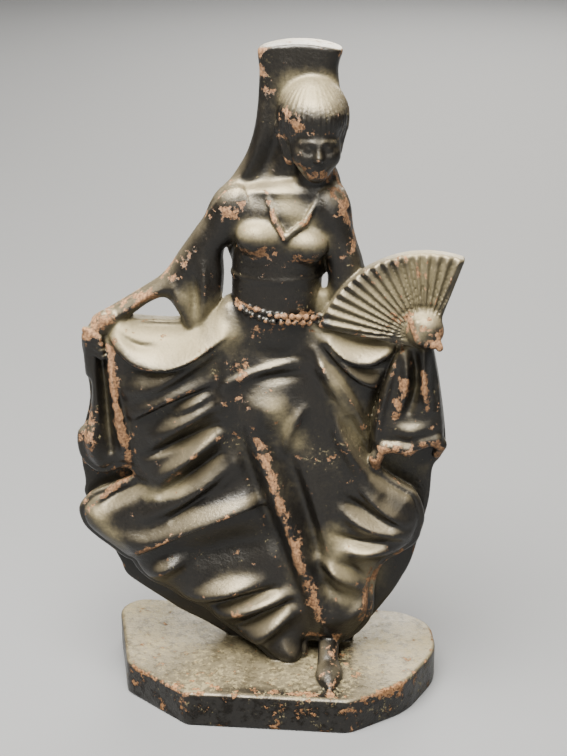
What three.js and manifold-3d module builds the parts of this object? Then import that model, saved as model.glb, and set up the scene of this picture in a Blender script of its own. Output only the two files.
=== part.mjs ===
// A cast iron doorstop: a dancer with a comb and a fan, spreading the skirt, on a plinth with cut corners.
// Millimetres. +Z is up, the figure faces -Y, the origin is the centre of the underside.
// Figure and plinth are one casting, so they are one closed solid.
import * as THREE from 'three';
import Module from 'manifold-3d';

// Plinth: corners in x and y, each with its rounding
const PLINTH_HEIGHT = 13.2;
const PLINTH_BEVEL = 0.9;
const ROOT_DEPTH = 3;
const PLINTH_CORNERS = [
  [-27.5, -33, 2], [30.5, -33, 3], [50, -17.5, 7], [60.5, 6, 8], [57.5, 25, 6], [46, 33, 5],
  [-56.5, 33, 5], [-61.5, 25, 4], [-52, -13.5, 2],
];

// Sampling of the figure, the distance beyond which a part is left out, and the number of facets kept
const STEP = 1.3;
const BEYOND = 8;
const FIGURE_FACETS = 9200;
const LOW = [-76, -32, PLINTH_HEIGHT - ROOT_DEPTH - 3];
const HIGH = [70, 32, 241];

// Depths of the layers of cloth, back to front
const SLAB = { mid: 9.5, edge: 2.5, front: 0, back: 2.5, run: 8, round: 1.5 };
const SKIRT = { mid: 4, edge: 3, front: 6.5, back: 5, run: 14, round: 1.5 };
const CASCADE = { mid: 2.5, edge: 2.5, front: 2.5, back: 5, run: 6, round: 1.2 };
const GATHER = { mid: 1.5, edge: 2.5, front: 2.5, back: 6, run: 6, round: 1.2 };
const MANTILLA = { mid: 8.5, edge: 2, front: 4, back: 4.5, run: 9, round: 1 };
const ARM = { mid: 3.5, edge: 0.8, front: 6, back: 5, run: 6.5, round: 1 };
const UPPER_ARM = { mid: 3, edge: 0.8, front: 6, back: 5, run: 5.5, round: 1 };
const FAN_PLATE = { mid: -4, edge: 2.2, front: 0, back: 1.5, run: 4, round: 0.6 };

// Rolled hems: radius and the height below which the edge is rolled, the drop over which the roll starts,
// how far it is set back in radii; EDGE_RUN is the run over which folds die out at an edge
const SKIRT_HEM = { radius: 1.7, below: 92 };
const PANEL_HEM = { radius: 2.1, below: 103 };
const HEM_START = 5;
const HEM_SET = 0.4;
const HEM_BLEND = 0.5;
const EDGE_RUN = 3;

// The hem's front comes forward over the plinth: place in x and z, reach, spread
const HEM_FRONT = [2, 12];
const HEM_REACH = 9;
const HEM_SPREAD = [17, 12];

// Comb with an arched top
const COMB = { height: 235.6, fall: 2.2, middle: 9, half: 14 };

// Fan: pivot, radius at its middle angle, extra radius at the far end, first and last angle in degrees
const FAN_PIVOT = [52, 139];
const FAN_RADIUS = 30.4;
const FAN_REACH = 5.2;
const FAN_SPAN = [66, 175];
const FAN_MIDDLE = 95;
const FAN_PLEATS = 16;
const PLEAT_HEIGHT = 1.6;
const PLEAT_START = [0.3, 0.7];

// Back of the skirt: its middle and spread at the top and at the plinth, and the point its folds run from
const BACK_TOP = 146;
const BACK_MIDDLE = [2, 7];
const BACK_SPREAD = [15, 38];
const BACK_SOURCE = 171;
const BACK_FULLNESS = 10;
const BACK_FOLD = 1.3;
const BACK_FOLDS = 14;
const BACK_RUN = 14;

// Outlines in x and z
const SLAB_OUTLINE = [
  [-12, 146], [-18, 145], [-21.5, 141.5], [-27.5, 136.5], [-31, 135], [-40, 133.5], [-50, 135.5],
  [-61, 135.5], [-67, 132.5], [-68, 127.5], [-66, 112.5], [-66.5, 104.5], [-70, 91], [-70, 83],
  [-69, 75], [-69.5, 70], [-66.5, 64], [-63, 57], [-60, 49], [-57, 42.5], [-55, 37.5], [-48.5, 32.5],
  [-41, 27.5], [-35, 23.5], [-26, 19], [-16, 13], [-9, 10.2], [14, 10.2], [26, 10.2], [30.5, 17],
  [36.5, 25], [43, 34.5], [46.5, 41], [50, 49], [53.6, 64], [55.6, 74], [56.4, 85.5], [59, 90],
  [60.7, 95.5], [58.5, 113.5], [55.5, 129.5], [53, 135], [43, 134], [17, 141], [6, 146],
];
const SKIRT_OUTLINE = [
  [-53.5, 49.5], [-50.5, 48], [-48, 44], [-43.5, 40], [-38, 37.5], [-32, 33.5], [-24.5, 30],
  [-18.5, 25], [-11.5, 21], [-4.5, 18.5], [2, 14.5], [8, 12], [11.5, 14.5], [12, 19.5], [14.5, 20.8],
  [18, 20], [23, 19], [28, 20.5], [32.5, 25], [35, 30.5], [35.5, 41], [37, 48], [40, 52.5], [45, 56],
  [50, 60], [51.5, 64], [52.5, 70], [50, 77.5], [46.5, 80], [41.5, 83], [37.5, 86.5], [35.5, 90],
  [34.5, 103], [36.5, 115.5], [43, 133], [37, 138.5], [17.5, 144], [0, 146], [-12.5, 149],
  [-16.5, 148.5], [-22.5, 143.5], [-33.5, 140.3], [-45.5, 140.3], [-54, 140.5], [-59, 131],
  [-58, 119.5], [-55, 104.5], [-51, 90], [-48.5, 81], [-55, 77], [-63, 73.5], [-66.5, 70.5],
  [-68.5, 67.5], [-68.5, 65], [-67, 61], [-63, 57], [-58.5, 53.5],
];
const CASCADE_OUTLINE = [
  [-57.5, 140.5], [-62.5, 138.5], [-65.4, 132], [-65, 124], [-63.4, 115], [-65, 103], [-67.4, 96],
  [-66.6, 89], [-63, 85], [-60, 84], [-57, 85.2], [-53, 86.4], [-49.5, 85.4], [-47, 83.5],
  [-47.5, 96.5], [-51, 112], [-52.5, 126], [-55.5, 136],
];
const GATHER_OUTLINE = [
  [43.5, 134.5], [47.5, 136.5], [54, 136.5], [56.5, 127], [59, 111], [59.8, 104], [59.4, 100],
  [57, 101], [52, 99.8], [47.6, 96.8], [44.5, 97.8], [40, 97.8], [36.8, 94], [35.6, 92],
  [34.5, 105], [36.5, 115], [39.5, 125],
];
const MANTILLA_OUTLINE = [
  [-5.2, 233], [-5.8, 246], [23.2, 246], [22.8, 234], [21.2, 226.5], [22.4, 213], [20.6, 203],
  [20, 196], [22.5, 188], [22, 170], [18, 158], [2, 154], [-13, 160], [-18, 174], [-18.6, 183],
  [-14, 190], [-8.8, 199], [-5.8, 210], [-4.6, 224.5],
];
const ARM_OUTLINE = [
  [-9, 188.5], [-16, 187], [-24.5, 175.5], [-31.5, 165.5], [-37.5, 157], [-46, 150.8], [-56.5, 144],
  [-63, 139.5], [-59, 135], [-50, 140.5], [-42, 146.5], [-36.5, 148.3], [-32.5, 143.5], [-29, 137],
  [-23, 139], [-17.6, 148.5], [-16.5, 157], [-16.4, 165.5], [-12.5, 170], [-6, 178],
];
const UPPER_ARM_OUTLINE = [
  [18, 189.5], [22.3, 186.5], [24.5, 183], [26.5, 177.5], [28.5, 170.5], [31, 161.5], [29, 154],
  [24, 150], [19, 151], [18.8, 157], [18.6, 162.5], [17.4, 167], [16, 177], [13, 184],
];

// Folds: three points of the crest in x and z, height (a groove is negative), half-widths left and right
// of its run; FOLD_END is the part of the height left at both ends
const FOLD_DEPTH = 1.2;
const FOLD_END = 0.35;
const FOLD_STEPS = 10;
const SKIRT_FOLDS = [
  // Swag from the waist to the hand, its hollow and its crease
  [-16.5, 137.5, -38.5, 126.5, -54, 134, 4.6, 1, 5],
  [-25.5, 140, -39, 139, -49.5, 140, -2.6, 2.4, 2.4],
  [-40.5, 133, -46.5, 133.5, -52, 137, -1.2, 1, 1],
  // Pulled folds on the side of the raised cloth
  [-15, 137, -33, 123, -48.5, 115.5, 3.8, 2.6, 4.4],
  [-22, 120, -35, 114.5, -47, 107, 3.6, 1.2, 4],
  [-20.5, 116.5, -26, 113, -32, 109.5, 1.8, 1.2, 2.2],
  [-18.5, 113, -28.5, 106.5, -39.5, 99, 3.6, 2.6, 3.2],
  [-19, 104.5, -30.5, 98, -44, 91, -2.4, 1.4, 2],
  [-18, 101, -28.5, 92.5, -39, 83.5, 4, 2.6, 2.8],
  [-17.5, 94.5, -25.5, 87, -39, 77, -2.4, 1.4, 2],
  [-13, 89.5, -24.5, 80, -44, 68.5, 3.4, 3, 4],
  [-13.5, 88, -23, 79, -35, 68.5, -1.6, 1.6, 1.6],
  // Turned edge of the lower lobe and the hollow under it
  [-4, 75, -21, 68.8, -48, 53.5, 5.4, 0.9, 5],
  [4, 64.5, -14.5, 59.5, -36.5, 51.5, -2.6, 6, 5],
  [-43.5, 60, -52.5, 58.5, -61.5, 62, 1.6, 3, 4],
  [-46, 80, -54.5, 75, -62, 70, -2.6, 2.4, 1.6],
  // Hem folds beside the leg
  [-31, 51, -37.5, 47.5, -44.5, 43, 3.4, 2.8, 3],
  [-1, 52.5, -15, 43.5, -29, 35, 4.4, 3.2, 3.6],
  [2, 47, -9, 40.5, -22, 33.5, -2, 1.4, 1.4],
  [5, 42.5, -7, 36, -19.5, 28.5, 4.4, 2.8, 3],
  [7, 37, -2.5, 31, -13.5, 24, -2.2, 1.4, 1.4],
  [8, 33, -1, 26, -9, 18, 4.4, 3.2, 3.4],
  // Thigh, shin and the hollows on both sides of it
  [-10, 112, -1.5, 111.5, 7, 110, 3.4, 6, 7],
  [-6, 105, 6.2, 69, 18.5, 29, 5, 3.5, 4],
  [-11, 100, -1.5, 72, 9, 42, -2, 3, 3],
  [6, 94.5, 14.5, 68, 22, 36, -2, 2.6, 2.6],
  [11.5, 112, 7.5, 105, 5, 96, 2, 2, 2],
  [11.5, 89, 20, 62, 26, 30, 2, 4.5, 4.5],
  // Hip folds and the hollows between them
  [-15.5, 121, -5, 125, 7.5, 129, 1.4, 1.4, 2.6],
  [-6.5, 134, 3, 133, 11, 134, -2, 5, 5],
  [-5, 123, 3, 123.5, 11, 125, -1.6, 2.4, 2.4],
  [-15, 135, -15, 122, -16.5, 109, 2, 4, 3],
  // Swags under the fan
  [43.5, 135.5, 32.5, 130, 20.5, 136.5, 3.4, 0.9, 3.6],
  [39, 138, 31, 137, 24.5, 139, -1.8, 2, 2],
  [39, 121.5, 31.5, 123.5, 18.5, 136, 3, 1, 3],
  [39, 129.5, 35, 127, 29.5, 129, -1.6, 2, 2],
  // Pulled folds below them
  [19, 128.5, 26.5, 119, 32.5, 105.5, 3.2, 1, 3.4],
  [15, 133.5, 21.5, 121.5, 26, 111.5, 2.2, 1.8, 3],
  [22, 113, 27, 98.5, 38, 81, 2.8, 1.4, 3.4],
  [27.5, 109, 32.5, 97, 38.5, 87.5, -2.4, 1.8, 1.8],
  [31, 83, 38, 75.5, 47, 68.5, 1.8, 2.4, 1],
  [26.5, 78.5, 32.5, 74, 41.5, 68, -2.2, 2, 2.4],
  [25.5, 73.5, 35.5, 67.5, 48.5, 64.5, 2.4, 2.2, 2.6],
  [22, 65.5, 29, 62, 39, 61, -1.6, 1.6, 1.6],
  [26, 58, 34.5, 58, 43.5, 58, 3.4, 2.6, 3.6],
  [17.5, 54, 25, 49, 31.5, 43, 3.2, 2.6, 2.2],
  [16.5, 46, 23, 41.5, 30.5, 37.5, -1.6, 2, 2.6],
  [25, 53.5, 29, 50.5, 34, 46, -1.4, 1.4, 1.6],
  [27, 29.5, 32.5, 34, 35.5, 39.5, 1.4, 2.4, 2.4],
];
const CASCADE_FOLDS = [
  [-63.2, 131, -61.8, 114, -62.5, 97, 1.8, 2.2, 2.2],
  [-65, 104, -63.5, 95.5, -61.5, 87.5, 3, 3.2, 3.2],
  [-59, 133.5, -58.5, 114, -57, 92, -2.6, 1.4, 1.6],
  [-56, 132.5, -53.8, 111, -51, 89, 3.4, 3, 2.2],
];
const GATHER_FOLDS = [
  [43, 133.5, 39, 118, 36, 100.5, 2.2, 1.8, 1.5],
  [45.5, 132.5, 46.5, 122, 44, 111, 2.2, 1.2, 2.2],
  [48.5, 133, 50, 122.5, 47.5, 112, -2.6, 1.6, 1.4],
  [52, 133.5, 52.5, 122.5, 54.5, 112.5, 2.2, 1.8, 1.8],
  [55, 131.5, 56, 122.5, 57, 113.5, -1.2, 1.2, 1.2],
  [43, 105, 48.5, 104.6, 54, 106, 2, 2.6, 3],
];
// Rolled rim of the gather in x, y and z
const GATHER_RIM = [
  [36.4, 1, 88], [36.6, -2.2, 93], [39.6, -3, 97.6], [44.5, -3.2, 98], [47.6, -3.2, 97], [52, -2.8, 100],
  [56.8, -2.2, 101], [58.8, -1, 98.6], [57.6, 3, 93.5],
];
const RIM_RADIUS = 1.8;
const RIM_BLEND = 2;
// Folds of the mantilla and the sleeve
const MANTILLA_FOLDS = [
  [-3.4, 214, -6.8, 198, -13, 189, 1.3, 2, 2],
  [2, 208, -0.5, 198, -5, 190, -2, 2.6, 2.6],
];
const SLEEVE_FOLDS = [
  [-33, 153, -31, 147, -29, 138, 1.6, 2, 2],
  [-27, 158, -26, 150, -26.5, 141, -1.4, 1.6, 1.6],
  [-23, 162, -22.5, 153, -23.5, 143, 1.4, 1.8, 1.8],
];

// Body sections: height, middle in x, half-width, middle in y, half-depth
const TORSO = [
  [124, 1.5, 15, 4, 5], [138, 1.5, 16, 4, 10], [146, 1, 15.2, 3.5, 10.6], [153, 1.4, 15.3, 3.5, 10.8],
  [161, 1.6, 15.4, 3.5, 11], [171, 3, 16.4, 4, 11.2], [180, 4.6, 18.5, 4.5, 10], [187, 5.5, 17, 5, 8.4],
  [191, 8, 11, 5.5, 6.5],
];
const TORSO_ROUND = 3;
const SHOULDERS = [
  { at: [-11, 3.4, 181], size: [8, 6.8, 6.6] },
  { at: [19.5, 3, 181], size: [5.5, 6.6, 6.4] },
];
const BUST = [[-4.2, -4.4, 172.6], [12.4, -4.2, 170.2]];
const BUST_SIZE = [7, 5.4, 5.6];
const SASH = [[18.2, 1.6, 150.5], [17, 0.4, 140.5]];
const SASH_RADIUS = 3;
const LAPELS = [
  [[-0.6, -2.4, 185.5], [1.8, -6, 179.1], [5.3, -7.8, 173.7]],
  [[16.6, -1.8, 187], [11.8, -6.2, 179], [5.3, -7.8, 173.7]],
];
const LAPEL_RADIUS = 1.3;
const SEAM_HEIGHT = 158.5;
const SEAM_RISE = 0.4;
const BELT = [
  [-11, -3.4, 149], [-6, -6, 147], [0.5, -7.4, 145.3], [7, -7.4, 145.3], [13.5, -5.2, 144.5], [17, -2.6, 145],
];
const BELT_RADIUS = 1.9;

// Head: skull with its hair, fringe and locks, face with its chin and nose
const HAIR = { at: [13.5, 2.5, 212.3], size: [11.8, 12, 13.2] };
const FRINGE = { at: [14.8, -3.4, 213.6], size: [9.8, 7.8, 7.6] };
const LOCKS = [[[3.6, 0.5, 209], [6.4, -1.6, 198.8], 2.8, 1.8], [[23.4, 0, 213], [22, -1, 202], 2, 1.4]];
const FACE = { at: [14.8, -3.2, 204.2], size: [8.2, 8.4, 10.4] };
const CHIN = { at: [15.3, -8.2, 195.8], size: [3.6, 3.6, 3.6] };
const NOSE = [[16.2, -9.8, 205.2], [16.6, -11.6, 201], 1, 1.5];
const NECK = [[13, 4, 184], [14.2, 2, 197]];
const NECK_RADIUS = 5.4;

// Hands, forearm and shoe
const LEFT_HAND = [
  [[-57, -1.2, 141], [-62.4, -1.4, 134.5], 3.4, 3],
  [[-62.4, -1.4, 134.5], [-63.2, -0.6, 121], 3, 2],
];
const LEFT_FINGERS = { base: [-64, -2.8, 137.4], tip: [-59.2, -4.2, 135], pitch: [0.3, 0.1, -2.3] };
const RIGHT_HAND = { at: [52.2, -7, 142.8], size: [6.4, 4.8, 6] };
const RIGHT_FINGERS = { base: [47.6, -10, 147], tip: [50.4, -11.2, 140.4], pitch: [2.3, 0.3, -0.8] };
const FINGERS = 4;
const FINGER_RADIUS = 1.3;
const FOREARM = [[25, 3, 160], [50, -2, 143]];
const FOREARM_RADIUS = 4;
const ANKLE = [[20.8, 4, 19.4], [21, -10, 15.2], 4, 3.6];
const VAMP = { at: [22, -16.5, 14.2], size: [4.7, 8.5, 3.5] };
const TOE = [[22.2, -18, 14.2], [23.2, -27.6, 13.9], 3.5, 0.9];

// Field helpers: distances are negative inside
const smoothMin = (a, b, k) => {
  const h = Math.max(k - Math.abs(a - b), 0) / k;
  return Math.min(a, b) - h * h * k / 4;
};
const smoothMax = (a, b, k) => -smoothMin(-a, -b, k);
const swell = (t) => {
  const u = 1 - THREE.MathUtils.clamp(t, 0, 1);
  return Math.sqrt(1 - u * u);
};

// Nearest place on a chain of points: distance, how far along, and side: 1 left of its run, -1 right of it
function nearest(chain, x, z) {
  let best = Infinity;
  let along = 0;
  let side = 0;
  for (let i = 0; i + 1 < chain.length; i += 1) {
    const [ax, az] = chain[i];
    const dx = chain[i + 1][0] - ax;
    const dz = chain[i + 1][1] - az;
    const t = THREE.MathUtils.clamp(((x - ax) * dx + (z - az) * dz) / (dx * dx + dz * dz), 0, 1);
    const ox = x - ax - t * dx;
    const oz = z - az - t * dz;
    const d = Math.hypot(ox, oz);
    if (d < best) {
      best = d;
      along = (i + t) / (chain.length - 1);
      side = (dx * oz - dz * ox) / (Math.hypot(dx, dz) * d || 1);
    }
  }
  return [best, along, side];
}

function inside(chain, x, z) {
  let odd = false;
  for (let i = 0; i + 1 < chain.length; i += 1) {
    const [ax, az] = chain[i];
    const [bx, bz] = chain[i + 1];
    if ((az > z) !== (bz > z) && x < (bx - ax) * (z - az) / (bz - az) + ax) odd = !odd;
  }
  return odd;
}

function smoothOutline(points) {
  const knots = points.map(([x, z]) => new THREE.Vector3(x, 0, z));
  const curve = new THREE.CatmullRomCurve3(knots, true, 'catmullrom', 0.5);
  return curve.getPoints(points.length * 4).map((p) => [p.x, p.z]);
}

function foldLines(rows) {
  return rows.map(([ax, az, bx, bz, cx, cz, height, left, right]) => {
    const [start, middle, end] = [[ax, az], [bx, bz], [cx, cz]].map((p) => new THREE.Vector2(...p));
    const control = middle.multiplyScalar(2).sub(start.clone().add(end).divideScalar(2));
    const curve = new THREE.QuadraticBezierCurve(start, control, end);
    return { chain: curve.getPoints(FOLD_STEPS).map((p) => [p.x, p.y]), height, left, right };
  });
}

const reliefOf = (rows) => {
  const folds = foldLines(rows);
  return (x, z) => FOLD_DEPTH * folds.reduce((sum, { chain, height, left, right }) => {
    const [d, along, side] = nearest(chain, x, z);
    const width = THREE.MathUtils.lerp(right, left, (side + 1) / 2);
    const fade = THREE.MathUtils.lerp(FOLD_END, 1, Math.sin(Math.PI * along));
    return sum + height * fade * Math.exp(-((d / width) ** 2));
  }, 0);
};

// A layer with an outline in x and z, swelling from its edge to the front and to the back.
// Folds raise its front, behind its back, lean brings it forward, hem rolls its edge, top cuts it off above.
const none = () => 0;
const noTop = () => HIGH[2];
function layer(points, size, { folds = none, behind = none, lean = none, hem = null, top = noTop } = {}) {
  return (x, z) => {
    const d = nearest(points, x, z)[0] * (inside(points, x, z) ? -1 : 1);
    if (d > BEYOND) return null;
    const rise = swell(-d / size.run);
    const face = size.mid - size.edge - lean(x, z);
    const front = face - size.front * rise - folds(x, z) * swell(-d / EDGE_RUN);
    const back = size.mid + size.edge + size.back * rise + behind(x, z) * swell(-d / BACK_RUN);
    const over = z - top(x);
    const roll = hem ? hem.radius * THREE.MathUtils.clamp((hem.below - z) / HEM_START, 0, 1) : 0;
    const axis = hem ? face + HEM_SET * hem.radius : face;
    return (y) => {
      let body = smoothMax(d, Math.max(front - y, y - back), size.round);
      if (roll > 0) body = smoothMin(body, Math.hypot(d, y - axis) - roll, HEM_BLEND);
      return smoothMax(body, over, size.round);
    };
  };
}

const hemLean = (x, z) => {
  const across = (x - HEM_FRONT[0]) / HEM_SPREAD[0];
  const down = (z - HEM_FRONT[1]) / HEM_SPREAD[1];
  return HEM_REACH * Math.exp(-across * across - down * down);
};
const combTop = (x) => COMB.height - COMB.fall * ((x - COMB.middle) / COMB.half) ** 2;

// Back of the skirt: full over the legs, thin where the cloth is spread, with soft folds from the waist
function fullBack(x, z) {
  const drop = THREE.MathUtils.clamp((BACK_TOP - z) / (BACK_TOP - PLINTH_HEIGHT), 0, 1);
  const middle = THREE.MathUtils.lerp(...BACK_MIDDLE, drop);
  const across = (x - middle) / THREE.MathUtils.lerp(...BACK_SPREAD, drop);
  const turn = Math.atan2(x - BACK_MIDDLE[0], BACK_SOURCE - z);
  const folds = BACK_FOLD * Math.cos(BACK_FOLDS * turn) * Math.sqrt(drop);
  return BACK_FULLNESS * Math.exp(-across * across) + folds;
}

const ball = ({ at, size }) => (x, z) => {
  const u = (x - at[0]) / size[0];
  const w = (z - at[2]) / size[2];
  const least = Math.min(...size);
  if ((Math.hypot(u, w) - 1) * least > BEYOND) return null;
  return (y) => (Math.hypot(u, (y - at[1]) / size[1], w) - 1) * least;
};

const limb = (a, b, ra, rb = ra) => {
  const axis = new THREE.Vector3().subVectors(new THREE.Vector3(...b), new THREE.Vector3(...a));
  const long = axis.lengthSq();
  return (x, z) => (y) => {
    const dot = (x - a[0]) * axis.x + (y - a[1]) * axis.y + (z - a[2]) * axis.z;
    const t = THREE.MathUtils.clamp(dot / long, 0, 1);
    const d = Math.hypot(x - a[0] - t * axis.x, y - a[1] - t * axis.y, z - a[2] - t * axis.z);
    return d - THREE.MathUtils.lerp(ra, rb, t);
  };
};

const cord = (points, radius) => points.slice(1).map((p, i) => limb(points[i], p, radius));

function torso(x, z) {
  const top = TORSO.length - 1;
  const over = Math.max(TORSO[0][0] - z, z - TORSO[top][0]);
  if (over > BEYOND) return null;
  const i = THREE.MathUtils.clamp(TORSO.findIndex((row) => row[0] > z), 1, top);
  const t = THREE.MathUtils.smoothstep(z, TORSO[i - 1][0], TORSO[i][0]);
  const [xm, hw, ym, hd] = [1, 2, 3, 4].map((c) => THREE.MathUtils.lerp(TORSO[i - 1][c], TORSO[i][c], t));
  const seam = SEAM_RISE * Math.exp(-((z - SEAM_HEIGHT) ** 2));
  return (y) => smoothMax((Math.hypot((x - xm) / hw, (y - ym) / hd) - 1) * hd - seam, over, TORSO_ROUND);
}

// Fan: a sector whose radius grows to its far end, pleated along its ribs
function fanOutline() {
  const steps = FAN_PLEATS * 4;
  const rim = [];
  for (let i = 0; i <= steps; i += 1) {
    const angle = THREE.MathUtils.lerp(FAN_SPAN[0], FAN_SPAN[1], i / steps);
    const reach = FAN_RADIUS + FAN_REACH * ((angle - FAN_MIDDLE) / (FAN_SPAN[1] - FAN_MIDDLE)) ** 2;
    const a = THREE.MathUtils.degToRad(angle);
    rim.push([FAN_PIVOT[0] + reach * Math.cos(a), FAN_PIVOT[1] + reach * Math.sin(a)]);
  }
  const heel = [[FAN_PIVOT[0] - 2, FAN_PIVOT[1] - 3], [FAN_PIVOT[0] + 3, FAN_PIVOT[1]]];
  return [...rim, ...heel, rim[0]];
}
function fanPleats(x, z) {
  const angle = THREE.MathUtils.radToDeg(Math.atan2(z - FAN_PIVOT[1], x - FAN_PIVOT[0]));
  const turn = (angle - FAN_SPAN[0]) / (FAN_SPAN[1] - FAN_SPAN[0]) * FAN_PLEATS;
  const reach = Math.hypot(x - FAN_PIVOT[0], z - FAN_PIVOT[1]) / FAN_RADIUS;
  const ridge = 1 - Math.abs(2 * (turn - Math.floor(turn)) - 1);
  return PLEAT_HEIGHT * THREE.MathUtils.smoothstep(reach, ...PLEAT_START) * ridge;
}

const fingers = ({ base, tip, pitch }) => Array.from({ length: FINGERS }, (_, i) => {
  const moved = (at) => at.map((v, c) => v + i * pitch[c]);
  return limb(moved(base), moved(tip), FINGER_RADIUS);
});

// The figure, part by part, each with the radius that blends it into the parts before it
const cloth = (outline, size, options) => layer(smoothOutline(outline), size, options);
const PARTS = [
  [cloth(SLAB_OUTLINE, SLAB, { behind: fullBack }), 1],
  [cloth(SKIRT_OUTLINE, SKIRT, { folds: reliefOf(SKIRT_FOLDS), lean: hemLean, hem: SKIRT_HEM }), 0.8],
  [cloth(CASCADE_OUTLINE, CASCADE, { folds: reliefOf(CASCADE_FOLDS), hem: PANEL_HEM }), 0.8],
  [cloth(GATHER_OUTLINE, GATHER, { folds: reliefOf(GATHER_FOLDS) }), 0.8],
  ...cord(GATHER_RIM, RIM_RADIUS).map((part) => [part, RIM_BLEND]),
  [cloth(MANTILLA_OUTLINE, MANTILLA, { folds: reliefOf(MANTILLA_FOLDS), top: combTop }), 1.5],
  [torso, 1.6],
  ...BUST.map((at) => [ball({ at, size: BUST_SIZE }), 2.6]),
  [cloth(ARM_OUTLINE, ARM, { folds: reliefOf(SLEEVE_FOLDS) }), 1.6],
  [cloth(UPPER_ARM_OUTLINE, UPPER_ARM), 1.6],
  ...SHOULDERS.map((shoulder) => [ball(shoulder), 5]),
  [limb(...SASH, SASH_RADIUS), 1.5],
  ...LAPELS.flatMap((line) => cord(line, LAPEL_RADIUS)).map((part) => [part, 0.6]),
  ...cord(BELT, BELT_RADIUS).map((part) => [part, 0.6]),
  [limb(...NECK, NECK_RADIUS), 3],
  [ball(HAIR), 1.5],
  [ball(FACE), 1],
  [ball(CHIN), 3],
  [limb(...NOSE), 1],
  [ball(FRINGE), 2],
  ...LOCKS.map((lock) => [limb(...lock), 1]),
  [limb(...FOREARM, FOREARM_RADIUS), 2],
  [layer(fanOutline(), FAN_PLATE, { folds: fanPleats }), 0.8],
  ...LEFT_HAND.map((segment) => [limb(...segment), 1.5]),
  [ball(RIGHT_HAND), 1.5],
  ...[LEFT_FINGERS, RIGHT_FINGERS].flatMap(fingers).map((part) => [part, 0.5]),
  [limb(...ANKLE), 1],
  [ball(VAMP), 1.5],
  [limb(...TOE), 1.5],
];

// Sample the field on a grid
const COUNT = LOW.map((low, i) => Math.ceil((HIGH[i] - low) / STEP) + 1);
const LEAST = 0.05;
const nodeAt = (i, j, k) => (k * COUNT[1] + j) * COUNT[0] + i;
function sampleField() {
  const values = new Float32Array(COUNT[0] * COUNT[1] * COUNT[2]).fill(BEYOND);
  for (let k = 1; k < COUNT[2] - 1; k += 1) {
    for (let i = 1; i < COUNT[0] - 1; i += 1) {
      const x = LOW[0] + i * STEP;
      const z = LOW[2] + k * STEP;
      const columns = PARTS.map(([part, blend]) => [part(x, z), blend]).filter(([column]) => column);
      for (let j = 1; j < COUNT[1] - 1 && columns.length; j += 1) {
        const y = LOW[1] + j * STEP;
        const value = columns.reduce((sum, [column, blend]) => smoothMin(sum, column(y), blend), BEYOND);
        values[nodeAt(i, j, k)] = (value < 0 ? -1 : 1) * Math.max(Math.abs(value), LEAST * STEP);
      }
    }
  }
  return values;
}

// Closed surface of the field: every cell is six tetrahedra about one diagonal
const CORNERS = Array.from({ length: 8 }, (_, c) => [c & 1, (c >> 1) & 1, c >> 2]);
const TETRAHEDRA = [[0, 1, 3, 7], [0, 5, 1, 7], [0, 3, 2, 7], [0, 2, 6, 7], [0, 4, 5, 7], [0, 6, 4, 7]];
const ONE_IN = [[0, 1, 2, 3], [1, 0, 3, 2], [2, 3, 0, 1], [3, 2, 1, 0]];
const TWO_IN = [[0, 1, 2, 3], [2, 3, 0, 1], [0, 2, 3, 1], [3, 1, 0, 2], [0, 3, 1, 2], [1, 2, 0, 3]];
function surfaceOf(values) {
  const points = [];
  const faces = [];
  const known = new Map();
  const total = values.length;
  const cross = (a, b) => {
    const key = a < b ? a * total + b : b * total + a;
    if (!known.has(key)) {
      const t = values[a] / (values[a] - values[b]);
      const at = [a, b].map((n) => [n % COUNT[0], Math.floor(n / COUNT[0]) % COUNT[1],
        Math.floor(n / (COUNT[0] * COUNT[1]))]);
      points.push([0, 1, 2].map((c) => LOW[c] + STEP * THREE.MathUtils.lerp(at[0][c], at[1][c], t)));
      known.set(key, points.length - 1);
    }
    return known.get(key);
  };
  const cut = (nodes) => {
    const within = nodes.map((n) => values[n] < 0);
    const count = within.filter(Boolean).length;
    if (count === 1 || count === 3) {
      const [p, q, r, s] = ONE_IN[within.indexOf(count === 1)].map((n) => nodes[n]);
      const face = [cross(p, q), cross(p, r), cross(p, s)];
      faces.push(count === 1 ? face : face.reverse());
    } else if (count === 2) {
      const [p, q, r, s] = TWO_IN.find(([a, b]) => within[a] && within[b]).map((n) => nodes[n]);
      faces.push([cross(p, r), cross(p, s), cross(q, s)], [cross(p, r), cross(q, s), cross(q, r)]);
    }
  };
  for (let k = 0; k + 1 < COUNT[2]; k += 1) {
    for (let j = 0; j + 1 < COUNT[1]; j += 1) {
      for (let i = 0; i + 1 < COUNT[0]; i += 1) {
        const corners = CORNERS.map(([di, dj, dk]) => nodeAt(i + di, j + dj, k + dk));
        const low = corners.some((n) => values[n] < 0);
        if (low && corners.some((n) => values[n] >= 0)) {
          TETRAHEDRA.forEach((tet) => cut(tet.map((c) => corners[c])));
        }
      }
    }
  }
  return { points, faces };
}

// Fewer, larger facets: the edge whose removal moves the surface least goes first
function planeError(q, [x, y, z]) {
  return q[0] * x * x + q[4] * y * y + q[7] * z * z + q[9]
    + 2 * (q[1] * x * y + q[2] * x * z + q[5] * y * z + q[3] * x + q[6] * y + q[8] * z);
}
function bestPoint(q, a, b) {
  const matrix = new THREE.Matrix3().set(q[0], q[1], q[2], q[1], q[4], q[5], q[2], q[5], q[7]);
  const middle = a.map((v, c) => (v + b[c]) / 2);
  const choices = [a, b, middle];
  if (Math.abs(matrix.determinant()) > 1e-3) {
    const solved = new THREE.Vector3(-q[3], -q[6], -q[8]).applyMatrix3(matrix.invert()).toArray();
    const reach = Math.hypot(...a.map((v, c) => v - b[c]));
    if (Math.hypot(...solved.map((v, c) => v - middle[c])) < 1.5 * reach) choices.push(solved);
  }
  return choices.map((p) => [planeError(q, p), p]).sort((m, n) => m[0] - n[0])[0];
}
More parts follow.
